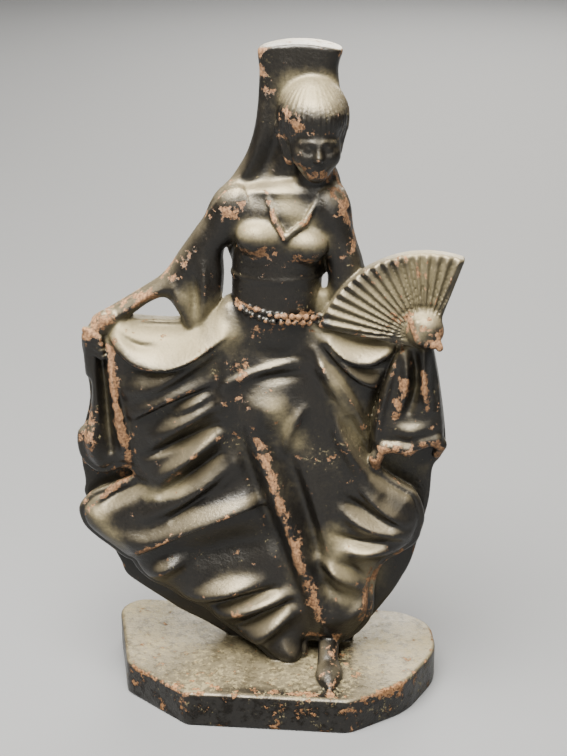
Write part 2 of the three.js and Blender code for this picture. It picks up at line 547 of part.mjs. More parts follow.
function facetNormal(a, b, c) {
  const u = new THREE.Vector3(b[0] - a[0], b[1] - a[1], b[2] - a[2]);
  return u.cross(new THREE.Vector3(c[0] - a[0], c[1] - a[1], c[2] - a[2]));
}

class EdgeHeap {
  constructor() {
    this.items = [];
  }

  push(item) {
    const list = this.items;
    let i = list.push(item) - 1;
    while (i > 0 && list[(i - 1) >> 1].cost > list[i].cost) {
      const up = (i - 1) >> 1;
      [list[i], list[up]] = [list[up], list[i]];
      i = up;
    }
  }

  pop() {
    const list = this.items;
    const first = list[0];
    const last = list.pop();
    if (list.length) {
      list[0] = last;
      let i = 0;
      for (;;) {
        let least = i;
        [2 * i + 1, 2 * i + 2].forEach((c) => {
          if (c < list.length && list[c].cost < list[least].cost) least = c;
        });
        if (least === i) break;
        [list[i], list[least]] = [list[least], list[i]];
        i = least;
      }
    }
    return first;
  }
}

function fewerFacets({ points, faces }, target) {
  const around = points.map(() => new Set());
  const quadrics = points.map(() => new Float64Array(10));
  const version = new Uint32Array(points.length);
  faces.forEach((face, f) => {
    const normal = facetNormal(...face.map((v) => points[v]));
    const area = normal.length();
    normal.normalize();
    const plane = [normal.x, normal.y, normal.z, -normal.dot(new THREE.Vector3(...points[face[0]]))];
    face.forEach((v) => {
      around[v].add(f);
      let n = 0;
      for (let r = 0; r < 4; r += 1) {
        for (let c = r; c < 4; c += 1) {
          quadrics[v][n] += area * plane[r] * plane[c];
          n += 1;
        }
      }
    });
  });
  const neighbours = (v) => {
    const found = new Set();
    around[v].forEach((f) => faces[f].forEach((w) => found.add(w)));
    found.delete(v);
    return found;
  };
  const heap = new EdgeHeap();
  const offer = (a, b) => {
    const sum = quadrics[a].map((v, i) => v + quadrics[b][i]);
    const [cost, at] = bestPoint(sum, points[a], points[b]);
    heap.push({ cost, at, a, b, stamp: version[a] + version[b] });
  };
  const turns = (v, other, at) => [...around[v]].some((f) => {
    if (faces[f].includes(other)) return false;
    const old = facetNormal(...faces[f].map((w) => points[w])).normalize();
    const next = facetNormal(...faces[f].map((w) => (w === v ? at : points[w])));
    const area = next.length();
    return area < 1e-3 || next.dot(old) < 0.3 * area;
  });
  faces.forEach(([a, b, c]) => [[a, b], [b, c], [c, a]].forEach(([p, q]) => p < q && offer(p, q)));
  let count = faces.length;
  while (count > target && heap.items.length) {
    const { at, a, b, stamp } = heap.pop();
    if (around[a] && around[b] && stamp === version[a] + version[b]) {
      const near = neighbours(b);
      const shared = [...neighbours(a)].filter((v) => near.has(v));
      if (near.has(a) && shared.length === 2 && !turns(a, b, at) && !turns(b, a, at)) {
        points[a] = at;
        quadrics[b].forEach((v, i) => {
          quadrics[a][i] += v;
        });
        around[b].forEach((f) => {
          if (faces[f].includes(a)) {
            faces[f].forEach((v) => around[v].delete(f));
            faces[f] = null;
            count -= 1;
          } else {
            faces[f] = faces[f].map((v) => (v === b ? a : v));
            around[a].add(f);
          }
        });
        around[b] = null;
        version[a] += 1;
        neighbours(a).forEach((v) => offer(a, v));
      }
    }
  }
  return { points, faces: faces.filter(Boolean) };
}

// Solids
const wasm = await Module();
wasm.setup();
function solidOf(vertices, triangles) {
  return new wasm.Manifold(new wasm.Mesh({
    numProp: 3,
    vertProperties: new Float32Array(vertices),
    triVerts: new Uint32Array(triangles),
  }));
}
function figureSolid() {
  const { points, faces } = fewerFacets(surfaceOf(sampleField()), FIGURE_FACETS);
  const index = new Map();
  const vertices = [];
  const triangles = faces.flatMap((face) => face.map((v) => {
    if (!index.has(v)) {
      index.set(v, index.size);
      vertices.push(...points[v]);
    }
    return index.get(v);
  }));
  return solidOf(vertices, triangles);
}
function plinthShape() {
  const shape = new THREE.Shape();
  PLINTH_CORNERS.forEach(([x, y, rounding], i) => {
    const corner = new THREE.Vector2(x, y);
    const [before, after] = [-1, 1].map((side) => {
      const other = PLINTH_CORNERS.at((i + side) % PLINTH_CORNERS.length);
      const away = new THREE.Vector2(other[0], other[1]).sub(corner).setLength(rounding);
      return away.add(corner);
    });
    if (i === 0) shape.moveTo(before.x, before.y);
    else shape.lineTo(before.x, before.y);
    shape.quadraticCurveTo(corner.x, corner.y, after.x, after.y);
  });
  return shape.closePath();
}
function plinthSolid() {
  const block = new THREE.ExtrudeGeometry(plinthShape(), {
    depth: PLINTH_HEIGHT - 2 * PLINTH_BEVEL,
    bevelEnabled: true,
    bevelThickness: PLINTH_BEVEL,
    bevelSize: PLINTH_BEVEL,
    bevelOffset: -PLINTH_BEVEL,
    curveSegments: 5,
    bevelSegments: 2,
  });
  block.translate(0, 0, PLINTH_BEVEL);
  const position = block.getAttribute('position');
  const index = new Map();
  const vertices = [];
  const triangles = [];
  for (let i = 0; i < position.count; i += 1) {
    const at = [position.getX(i), position.getY(i), position.getZ(i)];
    const key = at.map((v) => v.toFixed(4)).join(' ');
    if (!index.has(key)) {
      index.set(key, index.size);
      vertices.push(...at);
    }
    triangles.push(index.get(key));
  }
  return solidOf(vertices, triangles);
}

const casting = figureSolid().add(plinthSolid()).getMesh();
const geometry = new THREE.BufferGeometry();
geometry.setAttribute('position', new THREE.BufferAttribute(casting.vertProperties, 3));
geometry.setIndex(new THREE.BufferAttribute(casting.triVerts, 1));
geometry.computeVertexNormals();
const iron = new THREE.MeshStandardMaterial({ color: 0x24211d, roughness: 0.5, metalness: 0.3 });
const dancer = new THREE.Mesh(geometry, iron);
dancer.name = 'dancer_doorstop';

const group = new THREE.Group();
group.add(dancer);
export default group;
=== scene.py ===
"""Cast iron doorstop: a dancer with a comb and a fan on a plinth with cut corners, in worn black paint."""
import math

import bpy
import numpy as np
from mathutils import Matrix, Vector


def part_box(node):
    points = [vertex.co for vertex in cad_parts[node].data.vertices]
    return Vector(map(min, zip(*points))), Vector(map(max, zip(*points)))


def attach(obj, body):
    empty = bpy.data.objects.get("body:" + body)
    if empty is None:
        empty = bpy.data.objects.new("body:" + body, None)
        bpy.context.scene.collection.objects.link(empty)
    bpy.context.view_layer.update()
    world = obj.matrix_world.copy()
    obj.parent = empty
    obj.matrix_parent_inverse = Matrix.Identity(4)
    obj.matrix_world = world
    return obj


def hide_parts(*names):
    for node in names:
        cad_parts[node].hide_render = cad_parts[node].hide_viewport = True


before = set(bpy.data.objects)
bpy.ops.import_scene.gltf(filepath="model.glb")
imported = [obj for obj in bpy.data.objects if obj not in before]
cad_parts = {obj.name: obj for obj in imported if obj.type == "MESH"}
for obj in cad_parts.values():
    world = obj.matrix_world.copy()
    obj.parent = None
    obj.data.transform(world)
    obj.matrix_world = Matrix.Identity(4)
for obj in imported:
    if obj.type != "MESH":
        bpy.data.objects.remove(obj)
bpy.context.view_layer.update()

NODE = "dancer_doorstop"
CASTING_HEIGHT = 235.6
node_low, node_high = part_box(NODE)
MM = (node_high.z - node_low.z) / CASTING_HEIGHT

# Sampling in millimetres, the most triangles kept, the grid's ends, the distance that it starts from, the
# room left around each form, and the corners of a cell
STEP = 0.55
TRIANGLES = 190000
LOW = np.array([-75.0, -36.0, -2.8])
HIGH = np.array([70.0, 37.0, CASTING_HEIGHT + 4])
OUTSIDE = 9
MARGIN = 4
BALL_MARGIN = 5
LAYER_ROOM = (28, 24)
CELL_CORNERS = [(i, j, k) for i in (0, 1) for j in (0, 1) for k in (0, 1)]

# Plinth: corners in x and y, each with its rounding
PLINTH_HEIGHT = 13.2
PLINTH_ROUND = 1.6
PLINTH_FOOT_ROUND = 0.8
PLINTH_CORNERS = [
    (-27.5, -33, 2), (30.5, -33, 3), (50, -17.5, 7), (60.5, 6, 8), (57.5, 25, 6), (46, 33, 5), (-56.5, 33, 5),
    (-61.5, 25, 4), (-52, -13.5, 2),
]

# Layers of cloth, sleeves and fan: middle in y, half-thickness at the edge, swelling to the front and to the
# back, run of the swelling, rounding of the edge
SLAB = (9.5, 2.5, 0, 2.5, 8, 1.5)
SKIRT = (4, 3, 6.5, 5, 14, 1.5)
CASCADE = (2.5, 2.5, 2.5, 5, 6, 1.2)
GATHER = (1.5, 2.5, 2.5, 6, 6, 1.2)
MANTILLA = (8.5, 2, 4, 4.5, 9, 1)
ARM = (3.5, 0.8, 6, 5, 6.5, 1)
UPPER_ARM = (3, 0.8, 6, 5, 5.5, 1)
FAN_PLATE = (-4, 2.2, 0, 1.5, 4, 0.6)

# Rolled hems: radius and the height below which the edge is rolled, then how the roll starts and is set
SKIRT_HEM = (1.7, 92)
PANEL_HEM = (2.1, 103)
HEM_START = 5
HEM_SET = 0.4
HEM_BLEND = 0.5
EDGE_RUN = 3

# The hem's front comes forward over the plinth: place in x and z, reach, spread
HEM_FRONT = (2, 12)
HEM_REACH = 9
HEM_SPREAD = (17, 12)

# Comb: height of its arched top, fall to its ends, middle, half-width
COMB = (235.6, 2.2, 9, 14)

# Fan: pivot, radius over its middle, extra radius toward the far end, angles in degrees, heel from the pivot,
# and a fine line by its radius, width and depth
FAN_PIVOT = (52, 139)
FAN_RADIUS = 30.4
FAN_REACH = 5.2
FAN_SPAN = (66, 175)
FAN_MIDDLE = 95
FAN_RUN = 79
FAN_HEEL = [(-2, -3), (3, 0)]
FAN_PLEATS = 16
PLEAT_STEPS = 4
PLEAT_HEIGHT = 1.6
FAN_LINE = (12, 0.8, 0.4)

# Back of the skirt. Its middle and spread are given at the top and at the plinth, and its folds fan out from
# the height BACK_SOURCE
BACK_TOP = 146
BACK_FULLNESS = 10
BACK_FOLD = 1.3
BACK_FOLDS = 14
BACK_RUN = 14
BACK_MIDDLE = (2, 7)
BACK_SPREAD = (15, 38)
BACK_SOURCE = 171

# Outlines in x and z
SLAB_OUTLINE = [
    (-12, 146), (-18, 145), (-21.5, 141.5), (-27.5, 136.5), (-31, 135), (-40, 133.5), (-50, 135.5),
    (-61, 135.5), (-67, 132.5), (-68, 127.5), (-66, 112.5), (-66.5, 104.5), (-70, 91), (-70, 83),
    (-69, 75), (-69.5, 70), (-66.5, 64), (-63, 57), (-60, 49), (-57, 42.5), (-55, 37.5), (-48.5, 32.5),
    (-41, 27.5), (-35, 23.5), (-26, 19), (-16, 13), (-9, 10.2), (14, 10.2), (26, 10.2), (30.5, 17),
    (36.5, 25), (43, 34.5), (46.5, 41), (50, 49), (53.6, 64), (55.6, 74), (56.4, 85.5), (59, 90),
    (60.7, 95.5), (58.5, 113.5), (55.5, 129.5), (53, 135), (43, 134), (17, 141), (6, 146),
]
SKIRT_OUTLINE = [
    (-53.5, 49.5), (-50.5, 48), (-48, 44), (-43.5, 40), (-38, 37.5), (-32, 33.5), (-24.5, 30),
    (-18.5, 25), (-11.5, 21), (-4.5, 18.5), (2, 14.5), (8, 12), (11.5, 14.5), (12, 19.5), (14.5, 20.8),
    (18, 20), (23, 19), (28, 20.5), (32.5, 25), (35, 30.5), (35.5, 41), (37, 48), (40, 52.5), (45, 56),
    (50, 60), (51.5, 64), (52.5, 70), (50, 77.5), (46.5, 80), (41.5, 83), (37.5, 86.5), (35.5, 90),
    (34.5, 103), (36.5, 115.5), (43, 133), (37, 138.5), (17.5, 144), (0, 146), (-12.5, 149),
    (-16.5, 148.5), (-22.5, 143.5), (-33.5, 140.3), (-45.5, 140.3), (-54, 140.5), (-59, 131),
    (-58, 119.5), (-55, 104.5), (-51, 90), (-48.5, 81), (-55, 77), (-63, 73.5), (-66.5, 70.5),
    (-68.5, 67.5), (-68.5, 65), (-67, 61), (-63, 57), (-58.5, 53.5),
]
CASCADE_OUTLINE = [
    (-57.5, 140.5), (-62.5, 138.5), (-65.4, 132), (-65, 124), (-63.4, 115), (-65, 103), (-67.4, 96),
    (-66.6, 89), (-63, 85), (-60, 84), (-57, 85.2), (-53, 86.4), (-49.5, 85.4), (-47, 83.5),
    (-47.5, 96.5), (-51, 112), (-52.5, 126), (-55.5, 136),
]
GATHER_OUTLINE = [
    (43.5, 134.5), (47.5, 136.5), (54, 136.5), (56.5, 127), (59, 111), (59.8, 104), (59.4, 100),
    (57, 101), (52, 99.8), (47.6, 96.8), (44.5, 97.8), (40, 97.8), (36.8, 94), (35.6, 92), (34.5, 105),
    (36.5, 115), (39.5, 125),
]
MANTILLA_OUTLINE = [
    (-5.2, 233), (-5.8, 246), (23.2, 246), (22.8, 234), (21.2, 226.5), (22.4, 213), (20.6, 203),
    (20, 196), (22.5, 188), (22, 170), (18, 158), (2, 154), (-13, 160), (-18, 174), (-18.6, 183),
    (-14, 190), (-8.8, 199), (-5.8, 210), (-4.6, 224.5),
]
ARM_OUTLINE = [
    (-9, 188.5), (-16, 187), (-24.5, 175.5), (-31.5, 165.5), (-37.5, 157), (-46, 150.8), (-56.5, 144),
    (-63, 139.5), (-59, 135), (-50, 140.5), (-42, 146.5), (-36.5, 148.3), (-32.5, 143.5), (-29, 137),
    (-23, 139), (-17.6, 148.5), (-16.5, 157), (-16.4, 165.5), (-12.5, 170), (-6, 178),
]
UPPER_ARM_OUTLINE = [
    (18, 189.5), (22.3, 186.5), (24.5, 183), (26.5, 177.5), (28.5, 170.5), (31, 161.5), (29, 154),
    (24, 150), (19, 151), (18.8, 157), (18.6, 162.5), (17.4, 167), (16, 177), (13, 184),
]

# Folds: three points of the crest in x and z, height (a groove is negative), half-widths left and right.
# FOLD_END is the part of the height that is left at both ends
FOLD_DEPTH = 1.2
FOLD_END = 0.35
SKIRT_FOLDS = [
    # Swag from the waist to the hand, its hollow and its crease
    (-16.5, 137.5, -38.5, 126.5, -54, 134, 4.6, 1, 5),
    (-25.5, 140, -39, 139, -49.5, 140, -3.8, 2.4, 2.4),
    (-40.5, 133, -46.5, 133.5, -52, 137, -1.2, 1, 1),
    # Pulled folds on the side of the raised cloth
    (-15, 137, -33, 123, -48.5, 115.5, 3.8, 2.6, 4.4),
    (-22, 120, -35, 114.5, -47, 107, 3.6, 1.2, 4),
    (-20.5, 116.5, -26, 113, -32, 109.5, 1.8, 1.2, 2.2),
    (-18.5, 113, -28.5, 106.5, -39.5, 99, 3.6, 2.6, 3.2),
    (-19, 104.5, -30.5, 98, -44, 91, -2.4, 1.4, 2),
    (-18, 101, -28.5, 92.5, -39, 83.5, 4, 2.6, 2.8),
    (-17.5, 94.5, -25.5, 87, -39, 77, -2.4, 1.4, 2),
    (-13, 89.5, -24.5, 80, -44, 68.5, 3.4, 3, 4),
    (-13.5, 88, -23, 79, -35, 68.5, -1.6, 1.6, 1.6),
    # Turned edge of the lower lobe and the hollow under it
    (-4, 75, -21, 68.8, -48, 53.5, 5.4, 0.9, 5),
    (4, 62.5, -14.5, 57, -36.5, 49.5, -3, 6, 7),
    (-43.5, 60, -52.5, 58.5, -61.5, 62, 1.6, 3, 4),
    (-46, 80, -54.5, 75, -62, 70, -2.6, 2.4, 1.6),
    # Hem folds beside the leg
    (-31, 51, -37.5, 47.5, -44.5, 43, 3.4, 2.8, 3),
    (-4, 43.5, -16, 40, -29.5, 34.5, 4.4, 2.8, 3.6),
    (2, 41.5, -9, 37.5, -22, 32.5, -2, 1.4, 1.4),
    (6, 39, -6, 34.5, -19.5, 28, 4.4, 2.6, 3),
    (7, 37, -2.5, 31, -13.5, 24, -2.2, 1.4, 1.4),
    (8, 33, -1, 26, -9, 18, 4.4, 3.2, 3.4),
    # Thigh, shin and the hollows on both sides of it
    (-10, 112, -1.5, 111.5, 7, 110, 3.4, 6, 7),
    (-6, 105, 6.2, 69, 18.5, 29, 5, 3.5, 4),
    (-11, 100, -1.5, 72, 9, 42, -2, 3, 3),
    (6, 94.5, 14.5, 68, 22, 36, -2, 2.6, 2.6),
    (11.5, 112, 7.5, 105, 5, 96, 2, 2, 2),
    (11.5, 89, 20, 62, 26, 30, 2, 4.5, 4.5),
    # Hip folds and the hollows between them
    (-15.5, 121, -5, 125, 7.5, 129, 1.4, 1.4, 2.6),
    (-6.5, 134, 3, 133, 11, 134, -2, 5, 5),
    (-5, 123, 3, 123.5, 11, 125, -1.6, 2.4, 2.4),
    (-15, 135, -15, 122, -16.5, 109, 2, 4, 3),
    # Swags under the fan
    (43.5, 135.5, 32.5, 130, 20.5, 136.5, 3.4, 0.9, 3.6),
    (39, 138, 31, 137, 24.5, 139, -1.8, 2, 2),
    (39, 121.5, 31.5, 123.5, 18.5, 136, 3, 1, 3),
    (39, 129.5, 35, 127, 29.5, 129, -1.6, 2, 2),
    # Pulled folds below them
    (19, 128.5, 26.5, 119, 32.5, 105.5, 3.2, 1, 3.4),
    (15, 133.5, 21.5, 121.5, 26, 111.5, 2.2, 1.8, 3),
    (22, 113, 27, 98.5, 38, 81, 2.8, 1.4, 3.4),
    (27.5, 109, 32.5, 97, 38.5, 87.5, -2.4, 1.8, 1.8),
    (31, 83, 38, 75.5, 47, 68.5, 1.8, 2.4, 1),
    (26.5, 78.5, 32.5, 74, 41.5, 68, -2.2, 2, 2.4),
    (25.5, 73.5, 35.5, 67.5, 48.5, 64.5, 2.4, 2.2, 2.6),
    (22, 65.5, 29, 62, 39, 61, -1.6, 1.6, 1.6),
    (26, 58, 34.5, 58, 43.5, 58, 3.4, 2.6, 3.6),
    (17.5, 54, 25, 49, 31.5, 43, 3.2, 2.6, 2.2),
    (16.5, 46, 23, 41.5, 30.5, 37.5, -1.6, 2, 2.6),
    (25, 53.5, 29, 50.5, 34, 46, -1.4, 1.4, 1.6),
    (27, 29.5, 32.5, 34, 35.5, 39.5, 1.4, 2.4, 2.4),
]
CASCADE_FOLDS = [
    (-63.2, 131, -61.8, 114, -62.5, 97, 1.8, 2.2, 2.2),
    (-65, 104, -63.5, 95.5, -61.5, 87.5, 3, 3.2, 3.2),
    (-59, 133.5, -58.5, 114, -57, 92, -2.6, 1.4, 1.6),
    (-56, 132.5, -53.8, 111, -51, 89, 3.4, 3, 2.2),
]
GATHER_FOLDS = [
    (43, 133.5, 39, 118, 36, 100.5, 2.2, 1.8, 1.5),
    (45.5, 132.5, 46.5, 122, 44, 111, 2.2, 1.2, 2.2),
    (48.5, 133, 50, 122.5, 47.5, 112, -2.6, 1.6, 1.4),
    (52, 133.5, 52.5, 122.5, 54.5, 112.5, 2.2, 1.8, 1.8),
    (55, 131.5, 56, 122.5, 57, 113.5, -1.2, 1.2, 1.2),
    (43, 105, 48.5, 104.6, 54, 106, 2, 2.6, 3),
]
# Rolled rim of the gather in x, y and z
GATHER_RIM = [
    (36.4, 1, 88), (36.6, -2.2, 93), (39.6, -3, 97.6), (44.5, -3.2, 98), (47.6, -3.2, 97), (52, -2.8, 100),
    (56.8, -2.2, 101), (58.8, -1, 98.6), (57.6, 3, 93.5),
]
RIM_RADIUS = 1.8
RIM_BLEND = 2
# Folds of the mantilla and the sleeve
MANTILLA_FOLDS = [
    (-3.4, 214, -6.8, 198, -13, 189, 1.3, 2, 2),
    (2, 208, -0.5, 198, -5, 190, -2, 2.6, 2.6),
]
SLEEVE_FOLDS = [
    (-33, 153, -31, 147, -29, 138, 1.6, 2, 2),
    (-27, 158, -26, 150, -26.5, 141, -1.4, 1.6, 1.6),
    (-23, 162, -22.5, 153, -23.5, 143, 1.4, 1.8, 1.8),
]

# Body sections: height, middle in x, half-width, middle in y, half-depth
TORSO = np.array([
    (124, 1.5, 15, 4, 5), (138, 1.5, 16, 4, 10), (146, 1, 15.2, 3.5, 10.6), (153, 1.4, 15.3, 3.5, 10.8),
    (161, 1.6, 15.4, 3.5, 11), (171, 3, 16.4, 4, 11.2), (180, 4.6, 18.5, 4.5, 10), (187, 5.5, 17, 5, 8.4),
    (191, 8, 11, 5.5, 6.5),
])
TORSO_ROUND = 3
TORSO_ROOM = ((-24, -20), (30, 24))
SHOULDERS = [((-11, 3.4, 181), (8, 6.8, 6.6)), ((19.5, 3, 181), (5.5, 6.6, 6.4))]
SASH = ((18.2, 1.6, 150.5), (17, 0.4, 140.5))
SASH_RADIUS = 3
BUST = [(-4.2, -4.4, 172.6), (12.4, -4.2, 170.2)]
BUST_SIZE = (7, 5.4, 5.6)
LAPELS = [
    [(-0.6, -2.4, 185.5), (1.8, -6, 179.1), (5.3, -7.8, 173.7)],
    [(16.6, -1.8, 187), (11.8, -6.2, 179), (5.3, -7.8, 173.7)],
]
LAPEL_RADIUS = 1.1
SEAM_HEIGHT = 158.5
SEAM_RISE = 0.4
BELT = [
    (-11, -3.4, 149), (-6, -6, 147), (0.5, -7.4, 145.3), (7, -7.4, 145.3), (13.5, -5.2, 144.5),
    (17, -2.6, 145),
]
BEAD_RADIUS = 1.15
BEAD_PITCH = 2.5
BEAD_ROWS = (-1, 1.1)
BEAD_FORWARD = -0.3

# Head: hair with its strands (count, depth, end in half-heights), locks and neck
HAIR = ((13.5, 2.5, 212.3), (11.8, 12, 13.2))
FRINGE = ((14.8, -3.4, 213.6), (9.8, 7.8, 7.6))
STRANDS = (34, 0.028, 1.2)
LOCKS = [((3.6, 0.5, 209), (6.4, -1.6, 198.8), 2.8, 1.8), ((23.4, 0, 213), (22, -1, 202), 2, 1.4)]
NECK = ((13, 4, 184), (14.2, 2, 197))
NECK_RADIUS = 5.4

# Face: middle, size, turn and nod in degrees; its features are placed to the right, up and forward from there
FACE = ((14.8, -3.2, 204.2), (8.2, 8.4, 10.4))
FACE_TURN = 12
FACE_NOD = 4
CHIN = ((0, -7.8, 3.8), 3.6)
CHEEK = ((4, -2.4, 4.6), 3.3)
SOCKET = ((3.3, 1.2, 9.6), 2.2)
EYE = ((3.2, 0.9, 6.2), 1.7)
BROW = ((1.5, 2.9, 7.3), (5.2, 2.4, 5.4), 0.8)
NOSE = ((0, 2.4, 7.4), (0, -2, 9), 0.8, 1.4)
NOSTRIL = ((1.1, -2.3, 8.4), 0.75)
LIPS = [((1.8, -4.7, 7.6), 0.7), ((1.4, -6.1, 7.4), 0.8)]

# Hands and foot
LEFT_HAND = [
    ((-57, -1.2, 141), (-62.4, -1.4, 134.5), 3.4, 3), ((-62.4, -1.4, 134.5), (-63.2, -0.6, 121), 3, 2),
]
LEFT_FINGERS = ((-64, -2.8, 137.4), (-59.2, -4.2, 135), (0.3, 0.1, -2.3))
RIGHT_HAND = ((52.2, -7, 142.8), (6.4, 4.8, 6))
RIGHT_FINGERS = ((47.6, -10, 147), (50.4, -11.2, 140.4), (2.3, 0.3, -0.8))
FINGERS = 4
FINGER_RADIUS = 1.3
FOREARM = ((25, 3, 160), (50, -2, 143))
FOREARM_RADIUS = 4
ANKLE = ((20.8, 4, 19.4), (21, -10, 15.2), 4, 3.6)
VAMP = ((22, -16.5, 14.2), (4.7, 8.5, 3.5))
TOE = ((22.2, -18, 14.2), (23.2, -27.6, 13.9), 3.5, 0.9)

# How softly each form runs into the ones before it
SLAB_BLEND = 1
CLOTH_BLEND = 0.8
BODY_BLEND = 1.6
BUST_BLEND = 2.6
SHOULDER_BLEND = 5
LIMB_BLEND = 1.5
LAPEL_BLEND = 0.6
BEAD_BLEND = 0.3
NECK_BLEND = 3
CHEEK_BLEND = 2.5
SOCKET_BLEND = 1.2
EYE_BLEND = 0.4
FACE_BLEND = 1
NOSTRIL_BLEND = 0.6
LIP_BLEND = 0.5
FRINGE_BLEND = 2
FINGER_BLEND = 0.5
FOREARM_BLEND = 2
PLINTH_BLEND = 1

# Places on the front that are worn to the iron, kept dark as painted shade (no painted sheen, less dust), or
# dusty: two ends of a line in x and z, and its reach. FRONT_REACH is the place in y where the front ends
FRONT_REACH = 10
FRONT_FADE = 4
WORN = [
    ((-20, 179), (-9, 184), 4), ((-36, 157), (-27, 166), 3), ((-60, 141), (-41, 151), 3),
    ((-8, 169), (1, 168), 3), ((10, 167), (17, 165), 3), ((0, 185), (4, 175), 2), ((-5, 102), (4, 78), 2),
    ((4, 78), (11, 53), 2.6), ((11, 53), (18, 30), 2.4), ((-56, 133), (-53, 110), 2.5),
    ((-53, 110), (-49, 88), 3), ((-48, 54), (-36, 61), 2), ((45, 124), (43, 109), 2),
    ((52, 127), (54, 114), 1.5), ((46, 57), (35, 44), 2.5), ((36, 91), (40, 98), 3),
    ((40, 98), (48, 97.5), 3), ((48, 97.5), (57, 101), 3), ((57, 101), (59, 95), 3),
    ((35, 44), (34, 28), 2), ((11, 24), (28, 20), 2.5), ((8, 199), (13, 196), 3),
    ((6, 214), (12, 210), 4), ((47, 146), (57, 140), 5), ((-64, 136), (-56, 142), 4),
    ((25, 183), (29, 172), 3), ((-4, 140), (4, 143), 2.5), ((-11, 126), (-10, 113), 2.5),
    ((-5, 234), (-4, 226), 1.5), ((19, 195), (24, 184), 3), ((23, 15), (23, 12), 2.5),
    ((-65, 110), (-66, 88), 2), ((-66, 70), (-50, 82), 2), ((-50, 12), (-28, 12), 1),
    ((-28, 11), (-28, 6), 2), ((31, 11), (31, 3), 2.5), ((31, 12), (50, 12), 1), ((0, 12), (2, 1), 1.5),
    ((-11, 149), (17, 145), 1.5),
]
# Painted shade: places kept dark by holding back the painted sheen and the dust film
PAINTED_SHADE = [
    ((-6, 236), (24, 236), 3), ((-32, 51), (0, 60), 5), ((22, 20), (23, 14), 4),
    ((-11, 149), (17, 145), 3), ((-44, 72), (-8, 82), 3),
]
DUSTY = [
    ((-52, 137), (-26, 134), 6), ((-22, 146), (-15, 138), 5), ((18, 153), (17, 142), 4),
    ((24, 136), (39, 136), 4), ((2, 113), (9, 100), 4), ((-43, 75), (-32, 79), 4),
    ((33, 56), (38, 40), 4), ((5, 185), (12, 178), 4), ((-63, 67), (-55, 57), 4), ((22, 65), (28, 40), 5),
    ((24, 146), (53, 162), 9), ((22, 122), (31, 102), 4), ((-28, 150), (-24, 142), 5),
    ((48, 140), (60, 165), 6), ((46, 150), (51, 168), 9), ((7, 222), (19, 222), 5),
    ((-8, 175), (0, 175), 4), ((9, 173), (16, 172), 4), ((42, 92), (52, 88), 5),
    ((32, 146), (60, 164), 9),
]

# Dust over the plinth's middle and its gain toward the ends, the half-length of that gain, the height over
# which the plinth's own mask fades, and how far around a vertex edges and hollows are felt
PLINTH_DUST = (0.25, 0.8)
DUST_SPAN = 67.5
LEDGE_FADE = 1.5
EDGE_REACH = 1.6
HOLLOW_REACH = 5

# Colors: paint, dust and iron from dark to light, the painted sheen (a painted highlight where a surface
# faces up), and the floor
BLACK_PAINT = ((0.001, 0.001, 0.001, 1), (0.006, 0.005, 0.004, 1))
CREAM_DUST = ((0.09, 0.075, 0.036, 1), (0.27, 0.232, 0.132, 1))
BROWN_IRON = ((0.046, 0.021, 0.009, 1), (0.17, 0.092, 0.045, 1))
# Painted highlight: the colour that the painted sheen lightens the black paint to
PAINTED_SHEEN_COLOR = (0.11, 0.094, 0.064, 1)
FLOOR_COLOR = (0.087, 0.092, 0.103, 1)
FLOOR_ROUGHNESS = 0.8
FLOOR_SIZE = 8

# Masks on the vertices, and noises by scale, detail and roughness
MASKS = ("edge", "hollow", "worn", "dusty", "painted_shade", "ledge")
NOISES = {
    "patches": (60, 4, 0.55),
    "chips": (230, 6, 0.7),
    "specks": (520, 2, 0.55),
    "fine": (650, 4, 0.7),
    "grain": (1100, 3, 0.55),
}

# Wear, dust and painted light: the weight of each mask and noise, and the range over which their sum takes
# hold. The sheen is a painted highlight: a lighter, metallic paint where a surface faces up or on an edge,
# less in the painted shade and on the plinth's top
FLAKED = ({"worn": 0.5, "edge": 1.4, "chips": 3, "patches": 0.9}, 2.4, 2.5)
FLECKS = ({"fine": 1, "patches": 0.5, "ledge": 0.05, "top": 0.1}, 0.92, 1.02)
SPOTS = ({"chips": 0.9, "specks": 0.2}, 0.5, 0.64)
FILM = (
    {"dusty": 0.9, "hollow": 1.2, "upward": 0.4, "patches": 0.8, "specks": 0.5, "painted_shade": -0.8},
    0.68, 2,
)
# Painted sheen: a painted highlight by how far a surface faces up, on edges and in dusty places
PAINTED_SHEEN = (
    {"upward": 1, "edge": 0.3, "dusty": 0.3, "patches": 0.5, "specks": 0.2, "painted_shade": -0.8, "top": -0.4},
    0.4, 1.5,
)
RUST = ({"grain": 1}, 0.3, 0.7)
ROUGHNESS = {"patches": 0.2, "grain": 0.1, "painted_sheen": 0.08, "dust": 0.5, "flaked": 0.4}
BUMP_HEIGHT = {"grain": 0.4, "chips": 1, "patches": 1.2, "flaked": -0.5}
FILM_STRENGTH = 0.4
FLECK_STRENGTH = 0.5
SPOT_STRENGTH = 0.6
PAINTED_SHEEN_METAL = 0.8
PAINT_SPECULAR = 0.36
PAINT_ROUGHNESS = 0.2
BUMP_STRENGTH = 0.5
BUMP_DISTANCE = 0.0005

# Studio in metres: name, place, aim, size and power of each light
LIGHT_COLOR = (1, 0.945, 0.83)
LIGHTS = [
    ("overhead", (-0.15, -0.35, 1.05), (0, 0, 0.1), 0.9, 130),
    ("front", (0.3, -1.1, 0.7), (0, 0, 0.16), 1.1, 12),
    ("behind", (0.1, 1.3, 0.75), (0, 0, 0.1), 1.1, 46),
]
WORLD_COLOR = (0.85, 0.83, 0.8, 1)
WORLD_STRENGTH = 0.14

# Camera: place in millimetres, yaw and pitch in degrees, focal length in picture heights
CAMERA_AT = (55.9, -541.4, 340.8)
CAMERA_YAW = 5.469
CAMERA_PITCH = 22
CAMERA_FOCAL = 1700 / 756
CAMERA_SENSOR = 36
CAMERA_NEAR = 0.01


